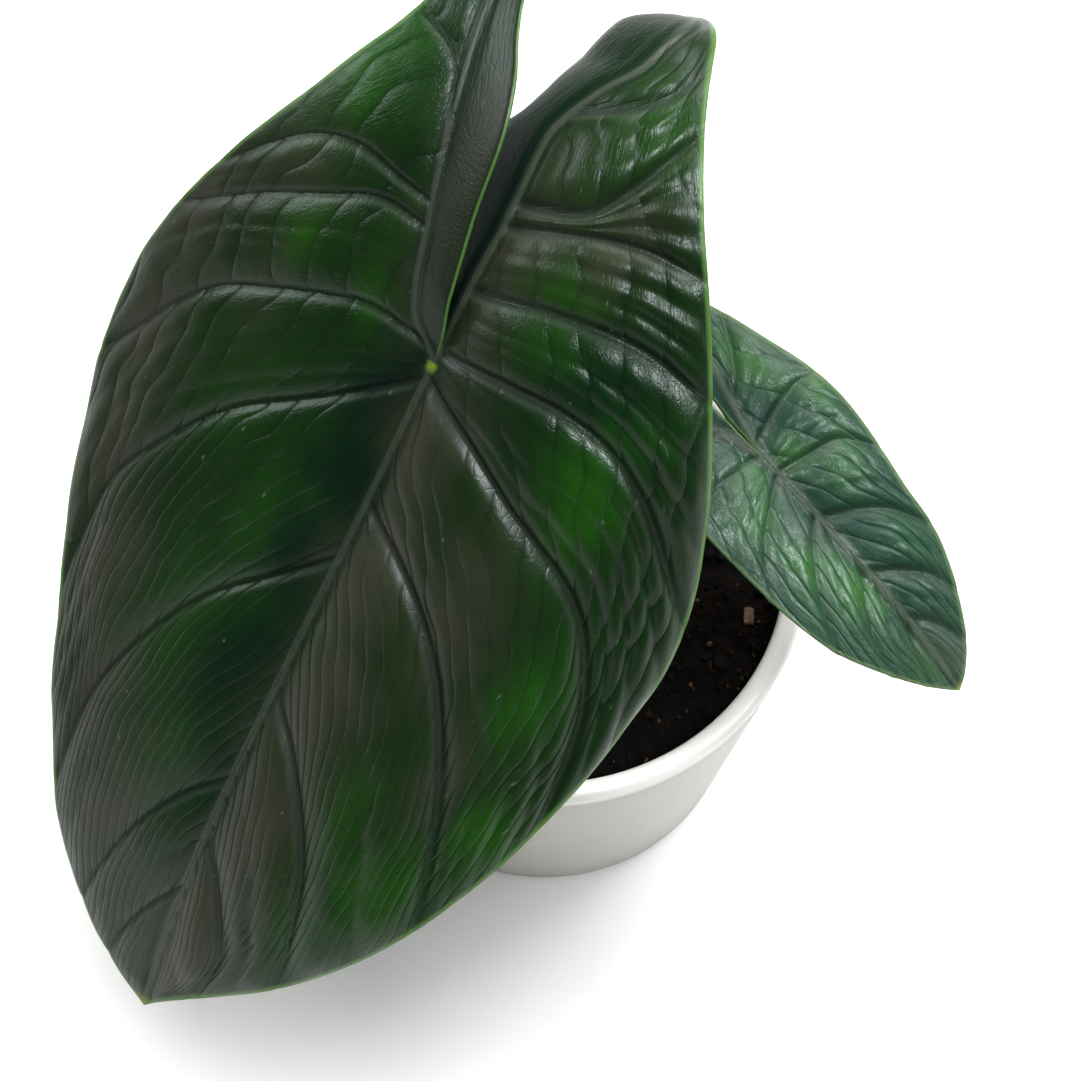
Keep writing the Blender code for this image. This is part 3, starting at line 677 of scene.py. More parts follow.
class BladeSheet:
    """Rows and columns that follow a blade's veins on one side, with what lies where."""

    JOINED = 10         # rows over which the lobes are welded above the junction

    def __init__(self, blade, side, veins, shared, strip, outer):
        self.blade = blade
        self.side = side
        self.strip = strip
        spacing = np.arange(outer)
        spacing = 1 - 0.62 * np.exp(-spacing / 3) - 0.45 * np.exp(-(outer - 1 - spacing) / 2)
        self.u = np.concatenate([[0], np.cumsum(spacing)]) / spacing.sum()
        self.lay_rows(veins, shared)
        self.lay_panels(veins)
        self.lay_strip()
        self.measure()

    def lay_rows(self, veins, shared):
        """t of each row on the spine, and the row on which each vein starts."""
        rows, last, self.starts = [], -1, []
        for count, start, _, _ in veins:
            if start > 0:
                if last < 0:
                    rows += list(np.linspace(last, JOIN_T, count - self.JOINED, endpoint=False))
                    rows += list(np.linspace(JOIN_T, 0, self.JOINED, endpoint=False))
                    self.junction_row = len(rows)
                    last = 0
                nearest = int(np.argmin(np.abs(shared - start)))
                self.starts.append(self.junction_row + nearest)
            else:
                pace = np.linspace(0, 1, count, endpoint=False)
                pace = pace if rows else pace ** 1.5
                rows += list(last + (start - last) * pace)
                self.starts.append(len(rows))
                last = start
        self.t_rows = np.array(rows + list(shared))

    def vein_line(self, start_t, through, end_t):
        """A vein's flat course from the spine to the margin."""
        blade, side = self.blade, self.side
        points = [blade.flat(side, start_t, blade.spine_w(side, start_t))]
        for t, w in through:
            points.append(blade.flat(side, t, w))
        points.append(blade.flat(side, end_t, blade.width_at(side, "outer", np.array(end_t))))
        return smooth_curve(points)

    def lay_panels(self, veins):
        """Flat places of the part outside the spine, panel by panel between the veins."""
        blade, side, u = self.blade, self.side, self.u
        t_rows = self.t_rows
        last = len(t_rows) - 1
        spine = blade.flat(side, t_rows, blade.spine_w(side, t_rows))
        edges = [(0, np.repeat(spine[:1], len(u), 0), 0.0, -1.0)]
        for (_, _, through, end_t), row in zip(veins, self.starts):
            line, length = along_line(self.vein_line(t_rows[row], through, end_t), u)
            edges.append((row, line, length, end_t))
        edges.append((last, np.repeat(spine[-1:], len(u), 0), 0.0, 1.0))
        self.outer = np.zeros((last + 1, len(u), 2))
        self.share = np.zeros((last + 1, len(u)))
        self.run = np.zeros((last + 1, len(u)))
        self.panels = []
        for k in range(len(edges) - 1):
            row_a, line_a, length_a, end_a = edges[k]
            row_b, line_b, length_b, end_b = edges[k + 1]
            f = (np.arange(row_a, row_b + 1) - row_a) / (row_b - row_a)
            crowded = f if k == 0 else f - 0.6 * np.sin(2 * np.pi * f) / (2 * np.pi)
            blend = f[:, None] + (crowded - f)[:, None] * ramp(u, 0, 0.2)[None, :]
            fine_t = np.linspace(end_a, end_b, 300)
            margin = blade.flat(side, fine_t, blade.width_at(side, "outer", fine_t))
            edge, _ = along_line(margin, crowded)
            s = blend[..., None]
            body = (1 - s) * line_a[None] + s * line_b[None]
            from_spine = spine[row_a:row_b + 1, None] - (1 - s) * spine[row_a] - s * spine[row_b]
            from_edge = edge[:, None] - (1 - s) * edge[0] - s * edge[-1]
            v = u[None, :, None]
            self.outer[row_a:row_b + 1] = body + (1 - v) * from_spine + v * from_edge
            self.share[row_a:row_b + 1] = blend
            self.run[row_a:row_b + 1] = ((1 - blend) * length_a + blend * length_b) * u
            self.panels.append((row_a, row_b))

    def lay_strip(self):
        """Flat places of the strip of a lobe inside its main vein."""
        blade, side, t = self.blade, self.side, self.t_rows
        share = (np.arange(self.strip) / self.strip)[None, :, None]
        inner = blade.flat(side, t, blade.inner_w(side, t))
        self.inner_strip = inner[:, None] * (1 - share) + self.outer[:, :1] * share
        self.inner_strip[self.junction_row:] = self.outer[self.junction_row:, :1]

    def measure(self):
        """Distances in metres from the veins, the spine and the margin."""
        places = self.outer
        by_row, by_column = np.gradient(places, axis=0), np.gradient(places, axis=1)
        area = np.abs(by_row[..., 0] * by_column[..., 1] - by_row[..., 1] * by_column[..., 0])
        row_step = area / np.maximum(np.linalg.norm(by_column, axis=-1), 1e-7)
        column_step = area / np.maximum(np.linalg.norm(by_row, axis=-1), 1e-7)
        self.panel_width = np.zeros(area.shape)
        self.across = np.zeros(area.shape)
        self.from_vein = np.zeros(area.shape)
        self.below_vein = np.zeros(area.shape)
        last = len(self.panels) - 1
        for k, (a, b) in enumerate(self.panels):
            steps = row_step[a:b + 1]
            run = np.vstack([np.zeros(steps.shape[1]), np.cumsum((steps[1:] + steps[:-1]) / 2, 0)])
            total = run[-1]
            self.panel_width[a:b + 1] = total
            self.across[a:b + 1] = run
            back = total - run
            if k == 0:
                near = back
            elif k == last:
                near = run
            else:
                near = np.minimum(run, back)
            self.from_vein[a:b + 1] = near
            self.below_vein[a:b + 1] = np.where((run < back) & (k > 0), run, -back)
        middle = (column_step[:, 1:] + column_step[:, :-1]) / 2
        reach = np.concatenate([np.zeros((len(places), 1)), np.cumsum(middle, 1)], 1)
        self.from_spine = reach
        self.from_edge = reach[:, -1:] - reach

    def pleat_count(self, width):
        """How many pleats of about a width fit between the veins, row by row."""
        count = np.ones((len(self.outer), 1))
        middle = len(self.u) * 2 // 3
        for a, b in self.panels:
            count[a:b + 1] = max(1, round(self.panel_width[b, middle] / width))
        return count


def soft_patches(patches, along, across):
    """Strength of soft round patches at flat places in metres."""
    total = np.zeros(along.shape)
    for centre, side, reach_along, reach_across, strength in patches:
        far = ((along / MM - centre) / reach_along) ** 2 + ((across / MM - side) / reach_across) ** 2
        total = np.maximum(total, strength * np.exp(-far * 0.8))
    return total


def outer_relief(sheet, dome, branches, spacing, pleats, pleat_width):
    """Height of the outer part of a side over its middle surface, and its branch pattern."""
    d, u = sheet.from_vein, sheet.u[None, :]
    width = sheet.panel_width
    off_spine = 1 - np.exp(-(sheet.from_spine / (6 * MM)) ** 1.3)
    off_edge = 1 - np.exp(-(sheet.from_edge / (4 * MM)) ** 1.3)
    swell = dome * np.clip((width / (26 * MM)) ** 0.7, 0, 1.25)
    height = swell * (1 - np.exp(-d / (4.2 * MM))) * off_spine * off_edge
    warp = noise_at(sheet.outer, 20 * MM, 3 + sheet.side, 2)
    lean = 0.5 + 1.1 * ramp(sheet.outer[..., 0], -20 * MM, 120 * MM)
    phase = (sheet.run - lean * sheet.across) / spacing + 0.5 * warp
    ridge = np.abs(np.sin(np.pi * phase)) ** 0.9
    height += branches(sheet) * (ridge - 0.5) * (1 - np.exp(-d / (2.6 * MM))) * off_spine * off_edge
    cycle = sheet.share * sheet.pleat_count(pleat_width) + 0.22 * warp * (d > 0)
    folds = np.abs(np.sin(np.pi * cycle)) ** 0.8 - 0.6
    height += pleats(sheet) * folds * (1 - np.exp(-d / (1.5 * MM))) * off_edge
    groove = np.exp(-(d / (1.0 * MM)) ** 2) * (1 - 0.65 * u)
    height -= 0.6 * MM * groove
    ripple = noise_at(sheet.outer, 24 * MM, 9 + sheet.side, 2) * np.exp(-sheet.from_edge / (9 * MM))
    height += 0.9 * MM * ripple
    return height * (1 - np.exp(-(sheet.from_spine / (1.2 * MM)) ** 2)), phase


def spine_relief(from_spine):
    """Height of a midrib or lobe vein: a low rounded rib with a groove beside it."""
    d = from_spine / MM
    return MM * (0.30 * np.exp(-(d / 0.9) ** 2) - 0.30 * np.exp(-((d - 2.1) / 0.9) ** 2))


def add_leaf(name, blade, all_veins, shared, strip, outer, dome, branches, spacing, pleats,
             pleat_width, patches, thickness, rib, finishes):
    """A blade from a grid laid along its veins, with the gap between its lobes cut out."""
    sheets = [BladeSheet(blade, side, all_veins[side], shared, strip, outer) for side in (0, 1)]
    rows = len(shared) - 1 + sheets[0].junction_row
    half = strip + outer
    made, column, row = new_grid(name, 2 * half + 1, rows)
    columns = half + 1
    data = {key: np.zeros((2, rows + 1, columns)) for key in (
        "vein", "shade", "light", "mid", "edge", "phase", "bronze", "bright", "teal", "rib",
        "along", "across", "tip")}
    places = np.zeros((2, rows + 1, columns, 3))
    for side, sheet in enumerate(sheets):
        sign = 1 if side else -1
        flat = np.concatenate([sheet.inner_strip, sheet.outer], 1)
        along, across = flat[..., 0], flat[..., 1]
        t = np.where(along < 0, along / blade.lobes[side], along / blade.length)
        w = across / blade.widths[side]
        base = blade.surface(side, t, w)
        by_row = np.gradient(base, axis=0)
        by_column = np.gradient(base, axis=1)
        normal = np.cross(by_row, by_column) * -sign
        size = np.linalg.norm(normal, axis=-1, keepdims=True)
        _, _, up = blade.frame(side, t)
        normal = np.where(size > 1e-12, normal / np.maximum(size, 1e-12), up)
        normal *= np.where((normal * up).sum(-1, keepdims=True) < 0, -1, 1)
        from_spine = np.zeros(along.shape)
        from_spine[:, strip:] = sheet.from_spine
        inner_gap = np.linalg.norm(sheet.inner_strip - sheet.outer[:, :1], axis=-1)
        from_spine[:, :strip] = inner_gap
        keep = ramp(np.minimum(np.abs(across), from_spine), 0, 3.5 * MM)[..., None]
        normal = up * (1 - keep) + normal * keep
        normal /= np.linalg.norm(normal, axis=-1, keepdims=True)
        height = np.zeros(along.shape)
        relief, phase = outer_relief(sheet, dome * (1 + 0.5 * side), branches, spacing[side], pleats,
                                     pleat_width)
        height[:, strip:] = relief
        inner_edge = inner_gap[:, :1] - inner_gap
        lobe = (t < 0)[:, :strip]
        swell = 0.9 * MM * (1 - np.exp(-inner_gap / (3 * MM))) * (1 - np.exp(-inner_edge / (3 * MM)))
        height[:, :strip] += swell * lobe
        height += spine_relief(from_spine)
        fade = ramp(1 - t, 0, 0.05) * ramp(t + 1, 0, 0.06)
        height *= fade
        places[side] = base + normal * (height + thickness / 2)[..., None]
        d = sheet.from_vein / MM
        below = sheet.below_vein / MM
        run_out = 1 - 0.55 * sheet.u[None, :]
        # Painted shade: a dark line along each vein, in its groove on the near side and to one side of
        # it on the far side.
        if side:
            data["vein"][side][:, strip:] = np.exp(-(d / (1.6 * run_out)) ** 2) * run_out
            data["shade"][side][:, strip:] = np.exp(-((below + 1.2) / 0.7) ** 2) * run_out
        else:
            data["vein"][side][:, strip:] = 0.3 * np.exp(-(d / (1.3 * run_out)) ** 2) * run_out
            data["shade"][side][:, strip:] = np.exp(-(d / 0.6) ** 2) * run_out
        # Painted highlight: a pale line on the other side of each vein.
        data["light"][side][:, strip:] = np.exp(-((below - 1.6) / 0.6) ** 2) * run_out
        data["mid"][side] = from_spine / MM
        data["mid"][side][sheet.junction_row:, :strip] = 0
        data["edge"][side][:, strip:] = sheet.from_edge / MM * (0.8 if side else 1)
        parted = (np.arange(rows + 1) < sheet.junction_row - sheet.JOINED)[:, None]
        data["edge"][side][:, :strip] = np.where(parted, 2.2 * inner_edge / MM, NO_EDGE)
        data["phase"][side][:, strip:] = phase
        signed = across * sign
        wobble = noise_at(flat, 22 * MM, 5, 3)
        wobble_across = noise_at(flat, 22 * MM, 15, 3)
        for key, spots in zip(("bronze", "bright", "teal"), patches):
            data[key][side] = soft_patches(spots, along + 7 * MM * wobble,
                                           signed + 5 * MM * wobble_across)
            # On the far side the lobe's inner strip folds down into shade: it gets painted shade
            # through the blue green mask, strongest near the junction, and no bronze or bright green.
            if side:
                shadow = 0.9 - 0.7 * ramp(-t[:, :strip], 0.35, 0.75)
                data[key][side][:, :strip] = shadow * (key == "teal")
        tapered = 1 - 0.75 * np.clip(np.abs(t), 0, 1)
        ribbed = rib * tapered * np.exp(-(from_spine / ((3.2 * tapered + 0.6) * MM)) ** 2)
        ribbed[:, strip:] = np.maximum(
            ribbed[:, strip:], 0.42 * rib * run_out ** 2 * np.exp(-(d / 1.3) ** 2) * fade[:, strip:])
        data["rib"][side] = np.clip((thickness + ribbed * fade) / (thickness + rib), 0, 1)
        data["along"][side] = along / MM
        data["across"][side] = signed / MM
        data["tip"][side] = t
    weld_midrib(places, sheets[0].junction_row, sheets[0].JOINED, strip)
    side_of = (column > half).astype(int)
    place_of = np.where(side_of, column - half - 1, half - column)
    move_to(made.data, places[side_of, row, place_of])
    for key in ("vein", "shade", "light", "mid", "edge", "phase", "bronze", "bright", "teal", "tip"):
        add_number(made.data, key, data[key][side_of, row, place_of])
    add_flat_map(made.data, data["along"][side_of, row, place_of] / 100,
                 data["across"][side_of, row, place_of] / 100)
    ribs = made.vertex_groups.new(name="ribs")
    weights = data["rib"][side_of, row, place_of]
    for index, weight in enumerate(weights):
        ribs.add([index], float(weight), "REPLACE")
    cut_gap(made, 2 * half + 1)
    face_up(made)
    for finish in finishes:
        made.data.materials.append(finish)
    solid = made.modifiers.new("thickness", "SOLIDIFY")
    solid.thickness = thickness + rib
    solid.offset = -1
    solid.vertex_group = "ribs"
    solid.material_offset = 1
    solid.material_offset_rim = 0
    apply_modifiers(made)
    select_only(made)
    bpy.ops.object.shade_smooth()
    return made


def weld_midrib(places, junction_row, joined, strip):
    """The two sides brought to the same places on the midrib and just above the junction."""
    seam = junction_row - joined
    midrib = places[0, junction_row:, strip].copy()
    places[:, junction_row:, :strip + 1] = midrib[None, :, None]
    above = places[0, seam:junction_row, 0].copy()
    places[1, seam:junction_row, :strip + 1] = above[:, None]


def cut_gap(piece, across):
    """The grid's middle column of faces taken out, and the midrib welded."""
    mesh = piece.data
    count = len(mesh.polygons)
    rows = count // across
    chosen = np.zeros((rows, across), bool)
    chosen[:, across // 2] = True
    select_only(piece)
    bpy.ops.object.mode_set(mode="EDIT")
    bpy.ops.mesh.select_mode(type="FACE")
    bpy.ops.mesh.select_all(action="DESELECT")
    bpy.ops.object.mode_set(mode="OBJECT")
    mesh.polygons.foreach_set("select", chosen.ravel())
    bpy.ops.object.mode_set(mode="EDIT")
    bpy.ops.mesh.delete(type="FACE")
    bpy.ops.mesh.select_mode(type="VERT")
    bpy.ops.mesh.select_all(action="SELECT")
    bpy.ops.mesh.remove_doubles(threshold=0.002 * MM)
    bpy.ops.mesh.delete_loose()
    bpy.ops.object.mode_set(mode="OBJECT")


def face_up(piece):
    """The open sheet's faces turned to its upper side."""
    mesh = piece.data
    normals = np.zeros(len(mesh.polygons) * 3, np.float32)
    mesh.polygons.foreach_get("normal", normals)
    if normals.reshape(-1, 3)[:, 2].mean() < 0:
        with editing(piece):
            bpy.ops.mesh.flip_normals()


def large_blade():
    """The large leaf's surface."""
    return Blade(216 * MM, (96 * MM, 112 * MM), (83 * MM, 84.5 * MM), (LARGE_NEAR, LARGE_FAR),
                 LARGE_HEADING, LARGE_TIP)


def small_blade():
    """The small leaf's surface."""
    return Blade(78 * MM, (42 * MM, 50 * MM), (26 * MM, 27 * MM), (SMALL_NEAR, SMALL_FAR),
                 SMALL_HEADING, SMALL_TIP)


def large_branches(sheet):
    """How strongly the large blade puckers between its fine veins, in metres."""
    outward = ramp(sheet.u, 0.1, 0.7)[None, :]
    towards_tip = ramp(sheet.outer[..., 0], 60 * MM, 130 * MM)
    if sheet.side:
        return MM * (0.30 + 0.30 * outward) * (1 - 0.6 * towards_tip)
    return MM * (0.20 + 0.20 * outward) * (1 - 0.5 * towards_tip)


def large_pleats(sheet):
    """Depth of the large blade's pleats, which run out beside its main veins, in metres."""
    outward = ramp(sheet.u, 0.25, 0.85)[None, :]
    if sheet.side:
        return MM * (0.25 + 1.5 * outward)
    return MM * (0.22 + 0.30 * outward)


def small_branches(sheet):
    """How strongly the small blade puckers between its fine veins, in metres."""
    outward = ramp(sheet.u, 0.1, 0.6)[None, :]
    return MM * (0.15 + 0.2 * outward) * (0.6 if sheet.side == 0 else 1)


def small_pleats(sheet):
    """Depth of the small blade's pleats, in metres."""
    return MM * (0.18 + 0.30 * ramp(sheet.u, 0.1, 0.6)[None, :])


# ---------------------------------------------------------------- finishes

def blade_top(name, green, bronze_sheen_colour, bright, teal, pale_edge, gloss, lines):
    """Upper side of a blade: green patches, blue green painted shade, grey bronze partly painted sheen,
    veins lined with painted shade and highlight, a pale margin and a satin gloss.
    """
    g = Graph(name)
    flat = g.place(flat=True)
    vein, shade, light = g.attribute("vein"), g.attribute("shade"), g.attribute("light")
    mid, edge, phase = g.attribute("mid"), g.attribute("edge"), g.attribute("phase")
    cloud = g.noise(flat, 4, 4, 0.6)
    mottle = g.noise(flat, 22, 4, 0.65)
    streak = g.noise(g.place((9, 60, 1), flat=True), 1, 3)
    colour = g.mix((mottle - 0.35).clamp() * 0.9, green, tuple(1.9 * c for c in green))
    colour = g.mix((g.attribute("bright") * (0.45 + 1.1 * cloud) * (0.6 + 0.8 * mottle)).clamp(),
                   colour, bright)
    # Painted shade: the blue green mask darkens the blade where it turns away from the light.
    colour = g.mix((g.attribute("teal") * (0.5 + 0.8 * cloud)).clamp(), colour, teal)
    # Grey bronze: partly the leaf's own tint, partly painted sheen where light grazes the blade.
    bronze = (g.attribute("bronze") * (0.55 + 0.9 * streak)).clamp()
    colour = g.mix(bronze * 0.92, colour, bronze_sheen_colour)
    line = 1 - g.add("Math", {"operation": "ABSOLUTE"}, {0: g.add(
        "Math", {"operation": "SINE"}, {0: phase * math.pi})})
    branch = line ** 4 * (1 - vein)
    colour = g.mix(branch * 0.34, colour, tuple(0.6 * c for c in teal))
    grey = (0.034, 0.039, 0.036)
    colour = g.mix((vein * 0.75 * lines).clamp(), colour, grey)
    # Painted shade along the veins, then a painted highlight beside them.
    colour = g.mix((shade * 0.6 * lines).clamp(), colour, (0.004, 0.008, 0.005))
    colour = g.mix((light * 0.25).clamp(), colour, (0.08, 0.11, 0.08))
    rib = (1 - mid.smooth(0.5, 1.3))
    # Painted shade: a darker band in the groove beside the midrib.
    beside = mid.smooth(0.5, 1.2) * (1 - mid.smooth(1.6, 2.6))
    colour = g.mix(beside * 0.55, colour, (0.010, 0.022, 0.014))
    colour = g.mix(rib * 0.75, colour, (0.052, 0.066, 0.045))
    t = g.attribute("tip")
    junction = (1 - mid.smooth(0.3, 2.2)) * (1 - g.add(
        "Math", {"operation": "ABSOLUTE"}, {0: t}).smooth(0.001, 0.012))
    colour = g.mix(junction * (2 * lines - 1), colour, (0.17, 0.30, 0.02))
    margin = 1 - edge.smooth(0.35, 1.3)
    colour = g.mix(margin * 0.8, colour, pale_edge)
    tip = t.smooth(0.975, 1.0)
    colour = g.mix(tip, colour, (0.22, 0.27, 0.04))
    specks = (1 - g.cells(flat, 34).smooth(0.03, 0.07)) * (1 - margin)
    colour = g.mix(specks * 0.35, colour, (0.16, 0.22, 0.16))
    fine = g.cells(g.place((1, 1, 1), flat=True), 130, "DISTANCE_TO_EDGE").smooth(0, 0.12)
    relief = fine * 0.10 + g.noise(flat, 60, 3) * 0.5 - branch * 0.8 - vein * 0.4
    crease = g.bump(relief, 0.00035, 0.7)
    rough = gloss + 0.10 * mottle + 0.08 * bronze - 0.05 * g.attribute("bright")
    g.finish(Base_Color=colour, Roughness=rough, Normal=crease, Specular_IOR_Level=0.2,
             Coat_Weight=0.0)
    # Where shade is painted, by the blue green mask and the vein shade lines, a share of plain matt
    # colour stands in for the glossy shader.
    g.dull((g.attribute("teal") * 0.9 + shade * 0.5).clamp(), colour, crease)
    return g.material


def blade_under(name, green, vein_colour):
    """Underside of a blade: paler, matt and with raised veins."""
    g = Graph(name)
    flat = g.place(flat=True)
    mottle = g.noise(flat, 20, 4, 0.6)
    colour = g.mix(mottle, tuple(0.75 * c for c in green), tuple(1.3 * c for c in green))
    veins = (g.attribute("vein") + (1 - g.attribute("mid").smooth(1.6, 4))).clamp()
    colour = g.mix(veins * 0.8, colour, vein_colour)
    margin = 1 - g.attribute("edge").smooth(0.3, 1.4)
    colour = g.mix(margin * 0.6, colour, vein_colour)
    fine = g.cells(flat, 110, "DISTANCE_TO_EDGE").smooth(0, 0.15)
    crease = g.bump(fine * -0.5 + mottle * 0.4, 0.0003, 0.6)
    return g.finish(Base_Color=colour, Roughness=0.55 + 0.12 * mottle, Normal=crease,
                    Specular_IOR_Level=0.35)


def glaze_finish():
    """White satin glaze, a little warm, with faint clouds, a few tiny specks and painted light that
    makes the lip paler towards the top.
    """
    g = Graph("white_glaze")
    where = g.place()
    white = tuple(colours().glaze)
    cloud = g.noise(where, 14, 4, 0.5)
    colour = g.mix(cloud, tuple(0.95 * c for c in white), tuple(1.05 * c for c in white))
    # Painted light: the glaze turns paler towards the top of the lip, where light falls.
    height = g.add("SeparateXYZ", None, {"Vector": where}, 2)
    lip = height.smooth(POT_HEIGHT - 5 * MM, POT_HEIGHT - 1.5 * MM)
    colour = g.mix(lip * 0.9, colour, (0.90, 0.88, 0.85))
    specks = 1 - g.cells(where, 60).smooth(0.035, 0.06)
    rare = g.noise(where, 26, 0).smooth(0.66, 0.7)
    colour = g.mix(specks * rare * 0.6, colour, (0.25, 0.21, 0.16))
    drag = g.noise(g.place((1, 1, 0.2)), 90, 3)
    normal = g.bump(g.noise(where, 45, 3), 0.0004, 0.35)
    return g.finish(Base_Color=colour, Roughness=0.30 + 0.14 * drag, Normal=normal)


def soil_finish():
    """Damp dark potting soil with a few brown fibres showing."""
    g = Graph("damp_soil")
    where = g.place()
    clod = g.noise(where, 260, 6, 0.7)
    grain = g.noise(where, 900, 3, 0.6)
    colour = g.add("ValToRGB", {"stops": (
        (0.30, (0.0004, 0.0002, 0.0001)), (0.52, (0.0016, 0.0008, 0.0004)),
        (0.68, (0.007, 0.0032, 0.0012)), (0.80, (0.024, 0.010, 0.003)))}, {0: clod * 0.7 + grain * 0.3})
    normal = g.bump(clod + 0.5 * grain, 0.0012, 0.9)
    return g.finish(Base_Color=colour, Roughness=0.82 + 0.12 * grain, Normal=normal,
                    Specular_IOR_Level=0.06)


def crumb_finish():
    """Crumbs of peat, bark and fibre, each with its own tone."""
    g = Graph("peat_crumbs")
    where = g.place()
    tone = g.attribute("tone")
    grain = g.noise(where, 700, 4, 0.65)
    colour = g.add("ValToRGB", {"stops": (
        (0.0, (0.0005, 0.0003, 0.0002)), (0.55, (0.0025, 0.0012, 0.0005)),
        (0.78, (0.016, 0.007, 0.0022)), (0.9, (0.050, 0.024, 0.008)),
        (1.0, (0.110, 0.062, 0.024)))}, {0: (tone + (grain - 0.5) * 0.16).clamp()})
    normal = g.bump(grain, 0.0006, 0.8)
    return g.finish(Base_Color=colour, Roughness=0.8 + 0.1 * grain, Normal=normal,
                    Specular_IOR_Level=0.08)


def bark_finish():
    """Orange brown bark with dark streaks along its grain."""
    g = Graph("bark")
    where = g.place()
    tone = g.attribute("tone")
    streak = g.noise(g.place((1, 1, 6)), 260, 4, 0.6, 0.6)
    colour = g.mix(streak.smooth(0.35, 0.65), (0.030, 0.013, 0.006), (0.16, 0.075, 0.028))
    colour = g.mix(tone * 0.5, colour, (0.055, 0.030, 0.016))
    normal = g.bump(streak + 0.4 * g.noise(where, 800, 3), 0.0005, 0.9)
    return g.finish(Base_Color=colour, Roughness=0.78 + 0.12 * streak, Normal=normal)


def rhizome_finish():
    """Brown corky skin with old leaf scars round it."""
    g = Graph("corky_skin")
    where = g.place()
    along = g.add("SeparateXYZ", None, {0: where}, 2)
    cork = g.noise(where, 240, 5, 0.65)
    scars = g.add("Math", {"operation": "SINE"}, {0: along * 1500 + cork * 3})
    colour = g.mix(cork.smooth(0.35, 0.65), (0.045, 0.026, 0.013), (0.19, 0.13, 0.07))
    colour = g.mix(scars.smooth(0.4, 0.9) * 0.6, colour, (0.028, 0.016, 0.009))
    normal = g.bump(cork - 0.4 * scars, 0.0007, 0.8)
    return g.finish(Base_Color=colour, Roughness=0.75 + 0.15 * cork, Normal=normal)


def stalk_finish():
    """Green stalk, paler at its sheathing foot, with fine mottled bands and ribs."""
    g = Graph("stalk_skin_finish")
    flat = g.place(flat=True)
    along = g.add("SeparateXYZ", None, {0: flat}, 0)
    mottle = g.noise(g.place((14, 9, 1), flat=True), 2.2, 4, 0.6)
    bands = g.noise(g.place((60, 3, 1), flat=True), 1, 3)
    colour = g.mix(along.smooth(0.02, 0.5), (0.21, 0.24, 0.10), (0.085, 0.165, 0.040))
    colour = g.mix((bands.smooth(0.5, 0.7) * 0.55).clamp(), colour, (0.045, 0.060, 0.026))
    colour = g.mix((1 - along.smooth(0.0, 0.10)) * 0.6, colour, (0.17, 0.10, 0.055))
    ribs = g.noise(g.place((2, 60, 1), flat=True), 1, 2)
    normal = g.bump(ribs + 0.3 * mottle, 0.0003, 0.5)
    return g.finish(Base_Color=colour, Roughness=0.38 + 0.15 * mottle, Normal=normal)


# ---------------------------------------------------------------- pot, soil and stems

def outer_radius(height):
    """The pot's outside radius at a height."""
    return POT_BASE_RADIUS + (POT_RIM_RADIUS - POT_BASE_RADIUS) * height / POT_HEIGHT


def inner_radius(height):
    """The pot's inside radius at a height, thickening into the lip."""
    lip = max(0, 1 - (POT_HEIGHT - height) / POT_LIP_DEPTH)
    return outer_radius(height) - POT_WALL - (POT_LIP - POT_WALL) * lip


def soil_height(radius):
    """Height of the soil's surface at a distance from the axis, without its clods."""
    edge = POT_HEIGHT - SOIL_BELOW_RIM
    full = inner_radius(edge) - SOIL_GAP
    return edge + SOIL_CROWN * (1 - (radius / full) ** 2)


def arc(centre, radius, start, end, steps):
    """Points of an arc in a profile, with angles in degrees from +radius."""
    points = []
    for k in range(steps + 1):
        angle = math.radians(start + (end - start) * k / steps)
        points.append((centre[0] + radius * math.cos(angle), centre[1] + radius * math.sin(angle)))
    return points


def pot_profile():
    """(radius, height) points up the outside, over the lip and down the inside."""
    lip = POT_LIP / 2
    level = POT_HEIGHT - lip
    middle = outer_radius(level) - lip
    foot = POT_FOOT_ROUND
    points = arc((outer_radius(foot) - foot, foot), foot, -90, 0, 6)
    for k in range(1, 8):
        height = foot + (level - foot) * k / 8
        points.append((outer_radius(height), height))
    points += arc((middle, level), lip, 0, 180, 14)
    for height in (POT_HEIGHT - POT_LIP_DEPTH, POT_HEIGHT * 0.6, POT_HEIGHT * 0.3):
        points.append((inner_radius(height), height))
    inner = inner_radius(POT_FLOOR + foot)
    points += arc((inner - foot, POT_FLOOR + foot), foot, 0, -90, 5)
    return points


def add_pot_shell(finish):
    """The pot, drawn up from a ring and turned in at the lip, with drain holes cut through it."""
    around = 176
    profile = pot_profile()
    deselect()
    bpy.ops.mesh.primitive_circle_add(vertices=around, radius=profile[0][0], fill_type="NGON")
    pot = name_new("pot_shell")
    bpy.ops.object.mode_set(mode="EDIT")
    bpy.ops.mesh.select_all(action="SELECT")
    for (radius, height), (next_radius, next_height) in zip(profile, profile[1:]):
        bpy.ops.mesh.extrude_region_move(
            TRANSFORM_OT_translate={"value": (0, 0, next_height - height)})
        share = next_radius / radius
        bpy.ops.transform.resize(value=(share, share, 1), center_override=(0, 0, next_height))
    bpy.ops.object.mode_set(mode="OBJECT")
    for k in range(DRAIN_COUNT):
        angle = math.radians(90 + 360 * k / DRAIN_COUNT)
        place = (DRAIN_OFFSET * math.cos(angle), DRAIN_OFFSET * math.sin(angle), POT_FLOOR / 2)
        deselect()
        bpy.ops.mesh.primitive_cylinder_add(
            vertices=32, radius=DRAIN_RADIUS, depth=3 * POT_FLOOR, location=place)
        cutter = name_new(f"drain_{k + 1}")
        cut = pot.modifiers.new("drain", "BOOLEAN")
        cut.operation = "DIFFERENCE"
        cut.object = cutter
        apply_modifiers(pot)
        bpy.data.objects.remove(cutter)
    tidy_mesh(pot, 0.004 * MM)
    return settle(pot, finish, sharp=40)


